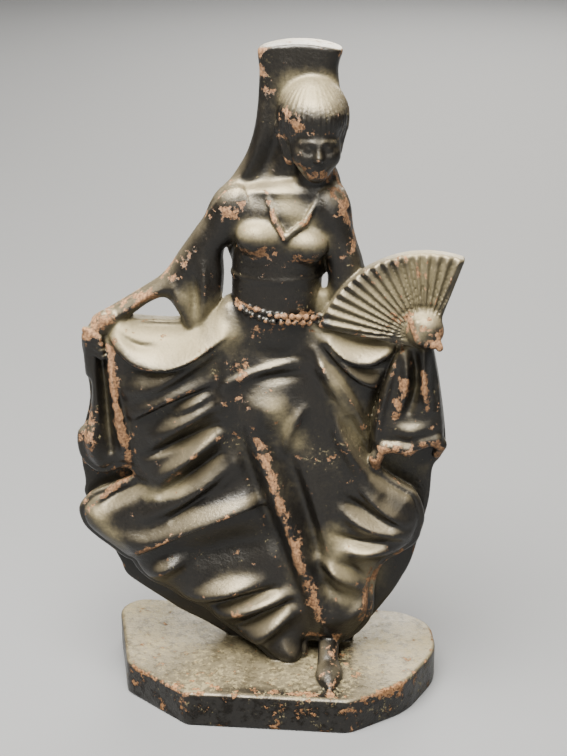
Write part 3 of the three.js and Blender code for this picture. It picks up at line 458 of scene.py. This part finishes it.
def smooth_min(a, b, k):
    """The smaller of two distances, rounded over k where they meet."""
    h = np.maximum(k - np.abs(a - b), 0) / k
    return np.minimum(a, b) - h * h * k / 4


def smooth_max(a, b, k):
    return -smooth_min(-a, -b, k)


def swell(t):
    """Quarter-round rise from 0 to 1."""
    u = 1 - np.clip(t, 0, 1)
    return np.sqrt(1 - u * u)


def closed_curve(points, steps=6):
    """Points along a smooth closed curve through the given ones."""
    p = np.array(points, float)
    before, after, far = np.roll(p, 1, 0), np.roll(p, -1, 0), np.roll(p, -2, 0)
    t = (np.arange(steps) / steps)[None, :, None]
    a, b = (after - before)[:, None] / 2, (far - p)[:, None] / 2
    p0, p1 = p[:, None], after[:, None]
    curve = (2 * p0 - 2 * p1 + a + b) * t ** 3 + (3 * p1 - 3 * p0 - 2 * a - b) * t ** 2 + a * t + p0
    curve = curve.reshape(-1, 2)
    return np.vstack([curve, curve[:1]])


def bent_line(a, b, c, steps=14):
    """Points along the bent line that runs through three points."""
    a, b, c = (np.array(p, float) for p in (a, b, c))
    control = 2 * b - (a + c) / 2
    t = np.linspace(0, 1, steps + 1)[:, None]
    return (1 - t) ** 2 * a + 2 * t * (1 - t) * control + t ** 2 * c


def rounded_corners(corners, steps=6):
    """Closed chain through the corners, each rounded over its own length."""
    chain = []
    for i, (x, y, size) in enumerate(corners):
        corner = np.array((x, y), float)
        ends = []
        for other in (corners[i - 1], corners[(i + 1) % len(corners)]):
            away = np.array(other[:2]) - corner
            ends.append(corner + away * size / np.linalg.norm(away))
        middle = (ends[0] + ends[1]) / 4 + corner / 2
        chain.extend(bent_line(ends[0], middle, ends[1], steps))
    return np.array(chain + chain[:1])


def nearest(chain, x, z):
    """Distance to a chain of points, how far along it, and the side: 1 is left of its run, -1 right of it."""
    best = np.full(np.broadcast(x, z).shape, np.inf, np.float32)
    along, side = np.zeros_like(best), np.zeros_like(best)
    for i, ((ax, az), (bx, bz)) in enumerate(zip(chain[:-1], chain[1:])):
        dx, dz = bx - ax, bz - az
        length = max(math.hypot(dx, dz), 1e-6)
        t = np.clip(((x - ax) * dx + (z - az) * dz) / length ** 2, 0, 1)
        ox, oz = x - ax - t * dx, z - az - t * dz
        d = ox ** 2 + oz ** 2
        closer = d < best
        best[closer] = d[closer]
        along[closer] = (i + t[closer]) / (len(chain) - 1)
        side[closer] = ((dx * oz - dz * ox) / length)[closer]
    best = np.sqrt(best)
    return best, along, side / np.maximum(best, 1e-6)


def signed(chain, x, z):
    """Distance to a closed chain of points, negative inside."""
    odd = np.zeros(np.broadcast(x, z).shape, bool)
    for (ax, az), (bx, bz) in zip(chain[:-1], chain[1:]):
        if az != bz:
            odd ^= ((az > z) != (bz > z)) & (x < (bx - ax) * (z - az) / (bz - az) + ax)
    distance = nearest(chain, x, z)[0]
    return np.where(odd, -distance, distance)


def relief(rows):
    """Height of the folds over a layer's front, as a function of x and z."""
    def height(x, z):
        total = np.zeros(np.broadcast(x, z).shape, np.float32)
        for ax, az, bx, bz, cx, cz, rise, left, right in rows:
            d, along, side = nearest(bent_line((ax, az), (bx, bz), (cx, cz)), x, z)
            width = (left + right) / 2 + side * (left - right) / 2
            fade = FOLD_END + (1 - FOLD_END) * np.sin(np.pi * along)
            total += rise * fade * np.exp(-((d / width) ** 2))
        return FOLD_DEPTH * total
    return height


def full_back(x, z):
    """How far the skirt swells behind, with shallow folds that fan out from above its top."""
    drop = np.clip((BACK_TOP - z) / (BACK_TOP - PLINTH_HEIGHT), 0, 1)
    middle, half = (top + (foot - top) * drop for top, foot in (BACK_MIDDLE, BACK_SPREAD))
    across = (x - middle) / half
    turn = np.arctan2(x - BACK_MIDDLE[0], BACK_SOURCE - z)
    return BACK_FULLNESS * np.exp(-across ** 2) + BACK_FOLD * np.cos(BACK_FOLDS * turn) * np.sqrt(drop)


def hem_lean(x, z):
    """How far the hem comes forward over the plinth."""
    across, down = (x - HEM_FRONT[0]) / HEM_SPREAD[0], (z - HEM_FRONT[1]) / HEM_SPREAD[1]
    return HEM_REACH * np.exp(-across ** 2 - down ** 2)


def comb_top(x):
    """Height of the comb's arched top."""
    height, fall, middle, half = COMB
    return height - fall * ((x - middle) / half) ** 2


class Field:
    """Distances on a grid in x, z and y, negative inside the casting."""

    def __init__(self):
        counts = np.ceil((HIGH - LOW) / STEP).astype(int) + 1
        self.axes = [LOW[i] + STEP * np.arange(counts[i]) for i in range(3)]
        self.value = np.full((counts[0], counts[2], counts[1]), OUTSIDE, np.float32)

    def window(self, low, high):
        """The part of the grid in a box, and its places along x, y and z."""
        spans = []
        for axis, a, b in zip(self.axes, low, high):
            i, j = np.searchsorted(axis, (a, b))
            spans.append(slice(max(i - 1, 0), j + 1))
        x, y, z = (axis[span].astype(np.float32) for axis, span in zip(self.axes, spans))
        return (spans[0], spans[2], spans[1]), x, y, z

    def join(self, where, distance, blend):
        self.value[where] = smooth_min(self.value[where], distance.astype(np.float32), blend)

    def cut(self, where, distance, blend):
        self.value[where] = smooth_max(self.value[where], -distance.astype(np.float32), blend)

    def layer(self, chain, size, blend, folds=None, behind=None, lean=None, hem=None, top=None):
        """A sheet with a thick middle. Folds raise its front and behind its back, lean brings it forward, hem
        rolls its edge, and top cuts it off."""
        mid, edge, front, back, run, rounding = size
        low, high = chain.min(0) - MARGIN, chain.max(0) + MARGIN
        first, last = mid - LAYER_ROOM[0], mid + LAYER_ROOM[1]
        where, x, y, z = self.window((low[0], first, low[1]), (high[0], last, high[1]))
        x, y, z = x[:, None], y[None, None, :], z[None, :]
        d = signed(chain, x, z)
        rise = swell(-d / run)
        face = mid - edge - (lean(x, z) if lean else 0)
        near = face - front * rise - (folds(x, z) * swell(-d / EDGE_RUN) if folds else 0)
        far = mid + edge + back * rise + (behind(x, z) * swell(-d / BACK_RUN) if behind else 0)
        steep = [np.sqrt(1 + sum(g * g for g in np.gradient(side, STEP)))[..., None] for side in (near, far)]
        slab = np.maximum((near[..., None] - y) / steep[0], (y - far[..., None]) / steep[1])
        body = smooth_max(d[..., None], slab, rounding)
        if hem:
            radius, below = hem
            roll = (radius * np.clip((below - z) / HEM_START, 0, 1) + 0 * d)[..., None]
            middle = (face + HEM_SET * radius + 0 * d)[..., None]
            body = smooth_min(body, np.hypot(d[..., None], y - middle) - roll, HEM_BLEND)
        if top:
            body = smooth_max(body, (z - top(x))[..., None], rounding)
        self.join(where, body, blend)

    def ball_distance(self, at, size, strands=None):
        """Distance to an ellipsoid, which strands of hair may groove."""
        at, size = np.array(at, float), np.ones(3) * np.array(size, float)
        where, x, y, z = self.window(at - size - BALL_MARGIN, at + size + BALL_MARGIN)
        u = (x[:, None, None] - at[0]) / size[0]
        v = (y[None, None, :] - at[1]) / size[1]
        w = (z[None, :, None] - at[2]) / size[2]
        r = np.sqrt(u * u + v * v + w * w)
        if strands:
            count, depth, end = strands
            r = r + depth * np.cos(count * np.arctan2(v, u)) * np.clip(end - np.abs(w), 0, 1)
        return where, (r - 1) * size.min()

    def ball(self, at, size, blend, strands=None):
        self.join(*self.ball_distance(at, size, strands), blend)

    def dent(self, at, size, blend):
        self.cut(*self.ball_distance(at, size), blend)

    def limb(self, a, b, radius, end_radius, blend):
        """A round bar from a to b whose radius changes along it."""
        a, b = np.array(a, float), np.array(b, float)
        reach = max(radius, end_radius) + BALL_MARGIN
        where, x, y, z = self.window(np.minimum(a, b) - reach, np.maximum(a, b) + reach)
        x, y, z = x[:, None, None], y[None, None, :], z[None, :, None]
        axis = b - a
        along = (x - a[0]) * axis[0] + (y - a[1]) * axis[1] + (z - a[2]) * axis[2]
        t = np.clip(along / (axis @ axis), 0, 1)
        d = np.sqrt(sum((p - a[i] - t * axis[i]) ** 2 for i, p in enumerate((x, y, z))))
        self.join(where, d - radius - (end_radius - radius) * t, blend)

    def cord(self, points, radius, blend):
        for a, b in zip(points[:-1], points[1:]):
            self.limb(a, b, radius, radius, blend)

    def torso(self, blend):
        """Oval sections joined smoothly from the hips to the neck, with the bodice's raised seam."""
        low, high = (*TORSO_ROOM[0], TORSO[0, 0] - MARGIN), (*TORSO_ROOM[1], TORSO[-1, 0] + MARGIN)
        where, x, y, z = self.window(low, high)
        i = np.clip(np.searchsorted(TORSO[:, 0], z, side="right"), 1, len(TORSO) - 1)
        t = np.clip((z - TORSO[i - 1, 0]) / (TORSO[i, 0] - TORSO[i - 1, 0]), 0, 1)
        t = (t * t * (3 - 2 * t))[:, None]
        rows = TORSO[i - 1] * (1 - t) + TORSO[i] * t
        middle, half, depth_middle, depth = (rows[:, c][None, :, None] for c in range(1, 5))
        x, y = x[:, None, None], y[None, None, :]
        over = np.maximum(TORSO[0, 0] - z, z - TORSO[-1, 0])[None, :, None]
        seam = (SEAM_RISE * np.exp(-((z - SEAM_HEIGHT) ** 2)))[None, :, None]
        body = (np.sqrt(((x - middle) / half) ** 2 + ((y - depth_middle) / depth) ** 2) - 1) * depth - seam
        self.join(where, smooth_max(body, over, TORSO_ROUND), blend)

    def plinth(self, blend):
        """A flat block with rounded corners and a rounded top edge."""
        chain = rounded_corners(PLINTH_CORNERS)
        low, high = (*chain.min(0) - MARGIN, LOW[2]), (*chain.max(0) + MARGIN, PLINTH_HEIGHT + MARGIN)
        where, x, y, z = self.window(low, high)
        d = signed(chain, x[:, None], y[None, :])[:, None, :]
        z = z[None, :, None]
        block = smooth_max(d, z - PLINTH_HEIGHT, PLINTH_ROUND)
        self.join(where, smooth_max(block, -z, PLINTH_FOOT_ROUND), blend)


def fan_outline():
    """Closed chain along the fan's rim and around its heel."""
    angle = np.linspace(*FAN_SPAN, FAN_PLEATS * PLEAT_STEPS + 1)
    reach = FAN_RADIUS + FAN_REACH * ((angle - FAN_MIDDLE) / FAN_RUN) ** 2
    turn = np.radians(angle)
    rim = np.stack([FAN_PIVOT[0] + reach * np.cos(turn), FAN_PIVOT[1] + reach * np.sin(turn)], 1)
    heel = np.array(FAN_HEEL) + FAN_PIVOT
    return np.vstack([rim, heel, rim[:1]])


def fan_pleats(x, z):
    """Height of the pleats, with a fine line across them near the hand."""
    angle = np.degrees(np.arctan2(z - FAN_PIVOT[1], x - FAN_PIVOT[0]))
    turn = (angle - FAN_SPAN[0]) / (FAN_SPAN[1] - FAN_SPAN[0]) * FAN_PLEATS
    reach = np.hypot(x - FAN_PIVOT[0], z - FAN_PIVOT[1])
    ridge = 1 - np.abs(2 * (turn - np.floor(turn)) - 1)
    line = np.exp(-(((reach - FAN_LINE[0]) / FAN_LINE[1]) ** 2))
    return PLEAT_HEIGHT * np.minimum(2 * reach / FAN_RADIUS, 1) * ridge - FAN_LINE[2] * line


def along_chain(points, pitch):
    """Places at an even pitch along a chain of points."""
    p = np.array(points, float)
    run = np.concatenate([[0], np.cumsum(np.linalg.norm(np.diff(p, axis=0), axis=1))])
    places = np.arange(pitch / 2, run[-1], pitch)
    return np.stack([np.interp(places, run, p[:, c]) for c in range(3)], 1)


def add_skirt(field):
    field.layer(closed_curve(SLAB_OUTLINE), SLAB, SLAB_BLEND, behind=full_back)
    folds = relief(SKIRT_FOLDS)
    field.layer(closed_curve(SKIRT_OUTLINE), SKIRT, CLOTH_BLEND, folds, lean=hem_lean, hem=SKIRT_HEM)
    field.layer(closed_curve(CASCADE_OUTLINE), CASCADE, CLOTH_BLEND, relief(CASCADE_FOLDS), hem=PANEL_HEM)
    field.layer(closed_curve(GATHER_OUTLINE), GATHER, CLOTH_BLEND, relief(GATHER_FOLDS))
    field.cord(GATHER_RIM, RIM_RADIUS, RIM_BLEND)


def add_bodice(field):
    field.torso(BODY_BLEND)
    for at in BUST:
        field.ball(at, BUST_SIZE, BUST_BLEND)
    field.layer(closed_curve(ARM_OUTLINE), ARM, BODY_BLEND, relief(SLEEVE_FOLDS))
    field.layer(closed_curve(UPPER_ARM_OUTLINE), UPPER_ARM, BODY_BLEND)
    for at, size in SHOULDERS:
        field.ball(at, size, SHOULDER_BLEND)
    field.limb(*SASH, SASH_RADIUS, SASH_RADIUS, LIMB_BLEND)
    for line in LAPELS:
        field.cord(line, LAPEL_RADIUS, LAPEL_BLEND)
    for row, rise in enumerate(BEAD_ROWS):
        for at in along_chain(BELT, BEAD_PITCH)[row:]:
            field.ball(at + (row * BEAD_PITCH / 2, BEAD_FORWARD, rise), BEAD_RADIUS, BEAD_BLEND)


def add_head(field):
    field.limb(*NECK, NECK_RADIUS, NECK_RADIUS, NECK_BLEND)
    field.ball(*HAIR, LIMB_BLEND, STRANDS)
    field.ball(*FACE, FACE_BLEND)
    turn, nod = math.radians(FACE_TURN), math.radians(FACE_NOD)
    forward = np.array((math.sin(turn) * math.cos(nod), -math.cos(turn) * math.cos(nod), -math.sin(nod)))
    right = np.array((math.cos(turn), math.sin(turn), 0))
    axes = np.array((right, np.cross(forward, right), forward))
    place = lambda at, side=1: np.array(FACE[0]) + (np.array(at) * (side, 1, 1)) @ axes
    field.ball(place(CHIN[0]), CHIN[1], NECK_BLEND)
    for side in (-1, 1):
        field.ball(place(CHEEK[0], side), CHEEK[1], CHEEK_BLEND)
        field.dent(place(SOCKET[0], side), SOCKET[1], SOCKET_BLEND)
        field.ball(place(EYE[0], side), EYE[1], EYE_BLEND)
        field.limb(place(BROW[0], side), place(BROW[1], side), BROW[2], BROW[2], FACE_BLEND)
        field.ball(place(NOSTRIL[0], side), NOSTRIL[1], NOSTRIL_BLEND)
    field.limb(place(NOSE[0]), place(NOSE[1]), NOSE[2], NOSE[3], FACE_BLEND)
    for at, radius in LIPS:
        field.limb(place(at, -1), place(at), radius, radius, LIP_BLEND)
    field.ball(*FRINGE, FRINGE_BLEND, STRANDS)
    for lock in LOCKS:
        field.limb(*lock, FACE_BLEND)


def add_fingers(field, row):
    base, tip, pitch = (np.array(p) for p in row)
    for i in range(FINGERS):
        field.limb(base + i * pitch, tip + i * pitch, FINGER_RADIUS, FINGER_RADIUS, FINGER_BLEND)


def sculpt():
    field = Field()
    add_skirt(field)
    field.layer(closed_curve(MANTILLA_OUTLINE), MANTILLA, LIMB_BLEND, relief(MANTILLA_FOLDS), top=comb_top)
    add_bodice(field)
    add_head(field)
    field.limb(*FOREARM, FOREARM_RADIUS, FOREARM_RADIUS, FOREARM_BLEND)
    field.layer(fan_outline(), FAN_PLATE, CLOTH_BLEND, fan_pleats)
    for segment in LEFT_HAND:
        field.limb(*segment, LIMB_BLEND)
    field.ball(*RIGHT_HAND, LIMB_BLEND)
    add_fingers(field, LEFT_FINGERS)
    add_fingers(field, RIGHT_FINGERS)
    field.limb(*ANKLE, PLINTH_BLEND)
    field.ball(*VAMP, LIMB_BLEND)
    field.limb(*TOE, LIMB_BLEND)
    field.plinth(PLINTH_BLEND)
    return field


def crossed_cells(inside):
    """Cells that the surface passes through, and the number of each on the grid."""
    cells = tuple(np.array(inside.shape) - 1)
    count = np.zeros(cells, np.uint8)
    for i, j, k in CELL_CORNERS:
        count += inside[i:i + cells[0], j:j + cells[1], k:k + cells[2]]
    active = np.argwhere((count > 0) & (count < len(CELL_CORNERS)))
    number = np.full(cells, -1, np.int32)
    number[tuple(active.T)] = np.arange(len(active))
    return active, number


def cell_places(value, active):
    """Mean of the places where the surface crosses each cell's edges."""
    total = np.zeros((len(active), 3))
    crossings = np.zeros(len(active))
    for corner in CELL_CORNERS:
        for axis in range(3):
            if corner[axis] == 0:
                a = active + corner
                b = a.copy()
                b[:, axis] += 1
                va, vb = value[tuple(a.T)], value[tuple(b.T)]
                cut = (va < 0) != (vb < 0)
                total[cut] += a[cut]
                total[cut, axis] += va[cut] / (va[cut] - vb[cut])
                crossings[cut] += 1
    return total / crossings[:, None]


def quads_along(axis, inside, number):
    """Quads around the crossed grid edges of one direction, facing outward."""
    u, v = (axis + 1) % 3, (axis + 2) % 3
    change = inside != np.roll(inside, -1, axis)
    change[tuple(slice(-1, None) if c == axis else slice(None) for c in range(3))] = False
    node = np.argwhere(change)
    ring = []
    for du, dv in ((-1, -1), (0, -1), (0, 0), (-1, 0)):
        cell = node.copy()
        cell[:, u] += du
        cell[:, v] += dv
        ring.append(number[tuple(cell.T)])
    quads = np.stack(ring, 1)
    starts_inside = inside[tuple(node.T)]
    quads[starts_inside] = quads[starts_inside][:, ::-1]
    return quads


def surface(field):
    """Vertices in millimetres and quads of the field's zero surface."""
    inside = field.value < 0
    active, number = crossed_cells(inside)
    vertices = LOW[[0, 2, 1]] + STEP * cell_places(field.value, active)
    quads = [quads_along(axis, inside, number) for axis in range(3)]
    return vertices[:, [0, 2, 1]], np.vstack(quads)


def box_blur(values, cells):
    """Mean over a cube of the given half-width in cells."""
    for axis in range(3):
        pad = [(cells + 1, cells) if c == axis else (0, 0) for c in range(3)]
        total = np.cumsum(np.pad(values, pad, mode="edge"), axis=axis, dtype=np.float32)
        count = values.shape[axis]
        low, high = (np.take(total, range(start, start + count), axis) for start in (0, 2 * cells + 1))
        values = (high - low) / (2 * cells + 1)
    return values


def sampled(values, vertices):
    """Grid values at the vertices."""
    place = (vertices[:, [0, 2, 1]] - LOW[[0, 2, 1]]) / STEP
    cell = np.clip(np.floor(place).astype(int), 0, np.array(values.shape) - 2)
    part = place - cell
    total = np.zeros(len(vertices))
    for corner in CELL_CORNERS:
        weight = np.ones(len(vertices))
        for c, bit in enumerate(corner):
            weight = weight * (part[:, c] if bit else 1 - part[:, c])
        total += weight * values[tuple((cell + corner).T)]
    return total


def mesh_from(name, vertices, quads):
    """Mesh in metres of vertices in millimetres."""
    mesh = bpy.data.meshes.new(name)
    mesh.vertices.add(len(vertices))
    mesh.vertices.foreach_set("co", (vertices * MM).astype(np.float32).ravel())
    mesh.loops.add(quads.size)
    mesh.loops.foreach_set("vertex_index", quads.astype(np.int32).ravel())
    mesh.polygons.add(len(quads))
    mesh.polygons.foreach_set("loop_start", np.arange(0, quads.size, 4, dtype=np.int32))
    mesh.update(calc_edges=True)
    mesh.validate()
    return mesh


def spread(rows, at):
    """How near each vertex of the front lies to the given lines, 1 on a line and falling to 0."""
    flat = at[:, [0, 2]]
    total = np.zeros(len(at))
    for a, b, reach in rows:
        a, b = np.array(a, float), np.array(b, float)
        axis = b - a
        t = np.clip((flat - a) @ axis / (axis @ axis), 0, 1)
        gap = np.linalg.norm(flat - a - t[:, None] * axis, axis=1)
        total = np.maximum(total, np.exp(-((gap / reach) ** 2)))
    return total * np.clip((FRONT_REACH - at[:, 1]) / FRONT_FADE, 0, 1)


def thinned(piece, ratio):
    """The piece's mesh with a part of its triangles."""
    thin = piece.modifiers.new("thin", "DECIMATE")
    thin.ratio = ratio
    evaluated = piece.evaluated_get(bpy.context.evaluated_depsgraph_get())
    mesh = bpy.data.meshes.new_from_object(evaluated)
    piece.modifiers.clear()
    return mesh


def add_masks(mesh, field):
    """Vertex values that say where the paint is worn or dusty, and where painted shade holds back the sheen.
    """
    at = np.zeros(len(mesh.vertices) * 3, np.float32)
    mesh.vertices.foreach_get("co", at)
    at = at.reshape(-1, 3) / MM
    solid = np.clip(0.5 - field.value / STEP, 0, 1)
    around = lambda reach: sampled(box_blur(solid, max(1, round(reach / STEP))), at) - 0.5
    toward_end = (np.abs(at[:, 0]) / DUST_SPAN) ** 4
    on_plinth = np.exp(-((at[:, 2] - PLINTH_HEIGHT) ** 2)) * (PLINTH_DUST[0] + PLINTH_DUST[1] * toward_end)
    masks = {
        "edge": -around(EDGE_REACH),
        "hollow": around(HOLLOW_REACH),
        "worn": spread(WORN, at),
        "dusty": np.maximum(spread(DUSTY, at), on_plinth),
        "painted_shade": spread(PAINTED_SHADE, at),
        "ledge": np.clip((PLINTH_HEIGHT + LEDGE_FADE - at[:, 2]) / LEDGE_FADE, 0, 1),
    }
    for name, values in masks.items():
        mask = mesh.attributes.new(name, "FLOAT", "POINT")
        mask.data.foreach_set("value", values.astype(np.float32))


def cast_piece():
    field = sculpt()
    vertices, quads = surface(field)
    piece = bpy.data.objects.new("dancer", mesh_from(NODE, vertices, quads))
    bpy.context.scene.collection.objects.link(piece)
    if 2 * len(quads) > TRIANGLES:
        piece.data = thinned(piece, TRIANGLES / (2 * len(quads)))
    piece.data.polygons.foreach_set("use_smooth", np.ones(len(piece.data.polygons), bool))
    add_masks(piece.data, field)
    return piece


class Nodes:
    """Short ways to make and join shader nodes, and the values that they give by name."""

    def __init__(self, material):
        material.use_nodes = True
        self.tree = material.node_tree
        self.tree.nodes.clear()
        self.coords = self.make("ShaderNodeTexCoord").outputs["Object"]
        self.values = {}

    def make(self, kind, **settings):
        node = self.tree.nodes.new(kind)
        for key, value in settings.items():
            setattr(node, key, value)
        return node

    def join(self, source, socket):
        self.tree.links.new(source, socket)

    def put(self, socket, value):
        if isinstance(value, bpy.types.NodeSocket):
            self.join(value, socket)
        else:
            socket.default_value = value

    def math(self, operation, a, b=0.0, clamp=False):
        node = self.make("ShaderNodeMath", operation=operation, use_clamp=clamp)
        self.put(node.inputs[0], a)
        self.put(node.inputs[1], b)
        return node.outputs[0]

    def times(self, a, b):
        return self.math("MULTIPLY", a, b)

    def rest(self, a):
        """What is left of 1."""
        return self.math("SUBTRACT", 1.0, a, clamp=True)

    def mask(self, name):
        return self.make("ShaderNodeAttribute", attribute_name=name).outputs["Fac"]

    def total(self, weights):
        """Sum of the named values, each with its weight."""
        products = [self.times(self.values[name], weight) for name, weight in weights.items()]
        result = products[0]
        for product in products[1:]:
            result = self.math("ADD", result, product)
        return result

    def noise(self, scale, detail, roughness):
        node = self.make("ShaderNodeTexNoise")
        self.join(self.coords, node.inputs["Vector"])
        node.inputs["Scale"].default_value = scale
        node.inputs["Detail"].default_value = detail
        node.inputs["Roughness"].default_value = roughness
        return node.outputs["Fac"]

    def ramp(self, value, low, high):
        node = self.make("ShaderNodeMapRange", interpolation_type="SMOOTHSTEP")
        self.put(node.inputs["Value"], value)
        node.inputs["From Min"].default_value = low
        node.inputs["From Max"].default_value = high
        return node.outputs["Result"]

    def rise(self, wear):
        """How far the weighted sum has taken hold, from 0 to 1."""
        weights, low, high = wear
        return self.ramp(self.total(weights), low, high)

    def mix(self, factor, a, b):
        node = self.make("ShaderNodeMix", data_type="RGBA")
        self.put(node.inputs["Factor"], factor)
        self.put(node.inputs["A"], a)
        self.put(node.inputs["B"], b)
        return node.outputs["Result"]


def add_sources(n):
    """Masks, noises and the upward turn of the surface, by name."""
    for name in MASKS:
        n.values[name] = n.mask(name)
    for name, sizes in NOISES.items():
        n.values[name] = n.noise(*sizes)
    normal = n.make("ShaderNodeSeparateXYZ")
    n.join(n.make("ShaderNodeNewGeometry").outputs["Normal"], normal.inputs[0])
    n.values["upward"] = n.ramp(normal.outputs["Z"], 0, 1)
    n.values["top"] = n.times(n.values["ledge"], n.values["upward"])


def add_wear(n):
    """Flaked, dusty and clear-of-spot places, and the painted sheen (a painted highlight), by name."""
    v = n.values
    v["flaked"] = n.rise(FLAKED)
    spots = n.times(n.rise(SPOTS), v["ledge"])
    v["clear"] = n.rest(n.times(spots, SPOT_STRENGTH))
    film = n.times(n.times(n.rise(FILM), FILM_STRENGTH), v["clear"])
    v["dust"] = n.math("MAXIMUM", film, n.times(n.rise(FLECKS), FLECK_STRENGTH))
    v["painted_sheen"] = n.times(n.rise(PAINTED_SHEEN), v["clear"])


def paint_color(n):
    """Black paint lightened by the painted sheen, a painted highlight, with cream dust and brown iron where
    flaked.
    """
    v = n.values
    painted = n.mix(v["painted_sheen"], n.mix(v["grain"], *BLACK_PAINT), PAINTED_SHEEN_COLOR)
    dusted = n.mix(v["dust"], painted, n.mix(v["grain"], *CREAM_DUST))
    return n.mix(v["flaked"], dusted, n.mix(n.rise(RUST), *BROWN_IRON))


def paint():
    """Old black paint with a painted highlight: a lighter, metallic sheen set mostly by how far a surface
    faces up.
    """
    material = bpy.data.materials.new("worn_paint_with_painted_sheen")
    n = Nodes(material)
    add_sources(n)
    add_wear(n)
    v = n.values
    bare = n.rest(n.math("MAXIMUM", v["dust"], v["flaked"]))
    bump = n.make("ShaderNodeBump")
    bump.inputs["Strength"].default_value = BUMP_STRENGTH
    bump.inputs["Distance"].default_value = BUMP_DISTANCE
    n.join(n.total(BUMP_HEIGHT), bump.inputs["Height"])
    shader = n.make("ShaderNodeBsdfPrincipled")
    n.join(paint_color(n), shader.inputs["Base Color"])
    n.join(n.times(v["clear"], PAINT_SPECULAR), shader.inputs["Specular IOR Level"])
    # Painted highlight: the paint turns metallic where the painted sheen lies
    n.join(n.times(n.times(v["painted_sheen"], PAINTED_SHEEN_METAL), bare), shader.inputs["Metallic"])
    n.join(n.math("ADD", n.total(ROUGHNESS), PAINT_ROUGHNESS, clamp=True), shader.inputs["Roughness"])
    n.join(bump.outputs["Normal"], shader.inputs["Normal"])
    n.join(shader.outputs["BSDF"], n.make("ShaderNodeOutputMaterial").inputs["Surface"])
    return material


def plain(name, color, roughness):
    material = bpy.data.materials.new(name)
    material.use_nodes = True
    shader = material.node_tree.nodes["Principled BSDF"]
    shader.inputs["Base Color"].default_value = color
    shader.inputs["Roughness"].default_value = roughness
    return material


def add_floor():
    bpy.ops.mesh.primitive_plane_add(size=FLOOR_SIZE, location=(0, 0, 0))
    floor = bpy.context.object
    floor.name = "floor"
    floor.data.materials.append(plain("pale_floor", FLOOR_COLOR, FLOOR_ROUGHNESS))


def add_light(name, at, aim, size, power):
    lamp = bpy.data.lights.new(name, "AREA")
    lamp.shape = "DISK"
    lamp.size = size
    lamp.energy = power
    lamp.color = LIGHT_COLOR
    light = bpy.data.objects.new(name, lamp)
    light.location = at
    light.rotation_euler = (Vector(aim) - Vector(at)).to_track_quat("-Z", "Y").to_euler()
    bpy.context.scene.collection.objects.link(light)


def add_camera():
    yaw, pitch = math.radians(CAMERA_YAW), math.radians(CAMERA_PITCH)
    forward = Vector((-math.sin(yaw) * math.cos(pitch), math.cos(yaw) * math.cos(pitch), -math.sin(pitch)))
    right = Vector((math.cos(yaw), math.sin(yaw), 0))
    up = right.cross(forward)
    data = bpy.data.cameras.new("camera")
    data.sensor_width = CAMERA_SENSOR
    data.lens = CAMERA_SENSOR * CAMERA_FOCAL
    data.clip_start = CAMERA_NEAR
    camera = bpy.data.objects.new("camera", data)
    turn = Matrix((right, up, -forward)).transposed().to_4x4()
    camera.matrix_world = Matrix.Translation(Vector(CAMERA_AT) * MM) @ turn
    bpy.context.scene.collection.objects.link(camera)
    bpy.context.scene.camera = camera


def add_world():
    world = bpy.data.worlds.new("studio")
    world.use_nodes = True
    background = world.node_tree.nodes["Background"]
    background.inputs["Color"].default_value = WORLD_COLOR
    background.inputs["Strength"].default_value = WORLD_STRENGTH
    bpy.context.scene.world = world


piece = cast_piece()
piece.data.materials.append(paint())
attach(piece, "root")
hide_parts(NODE)
add_floor()
add_world()
for light in LIGHTS:
    add_light(*light)
add_camera()
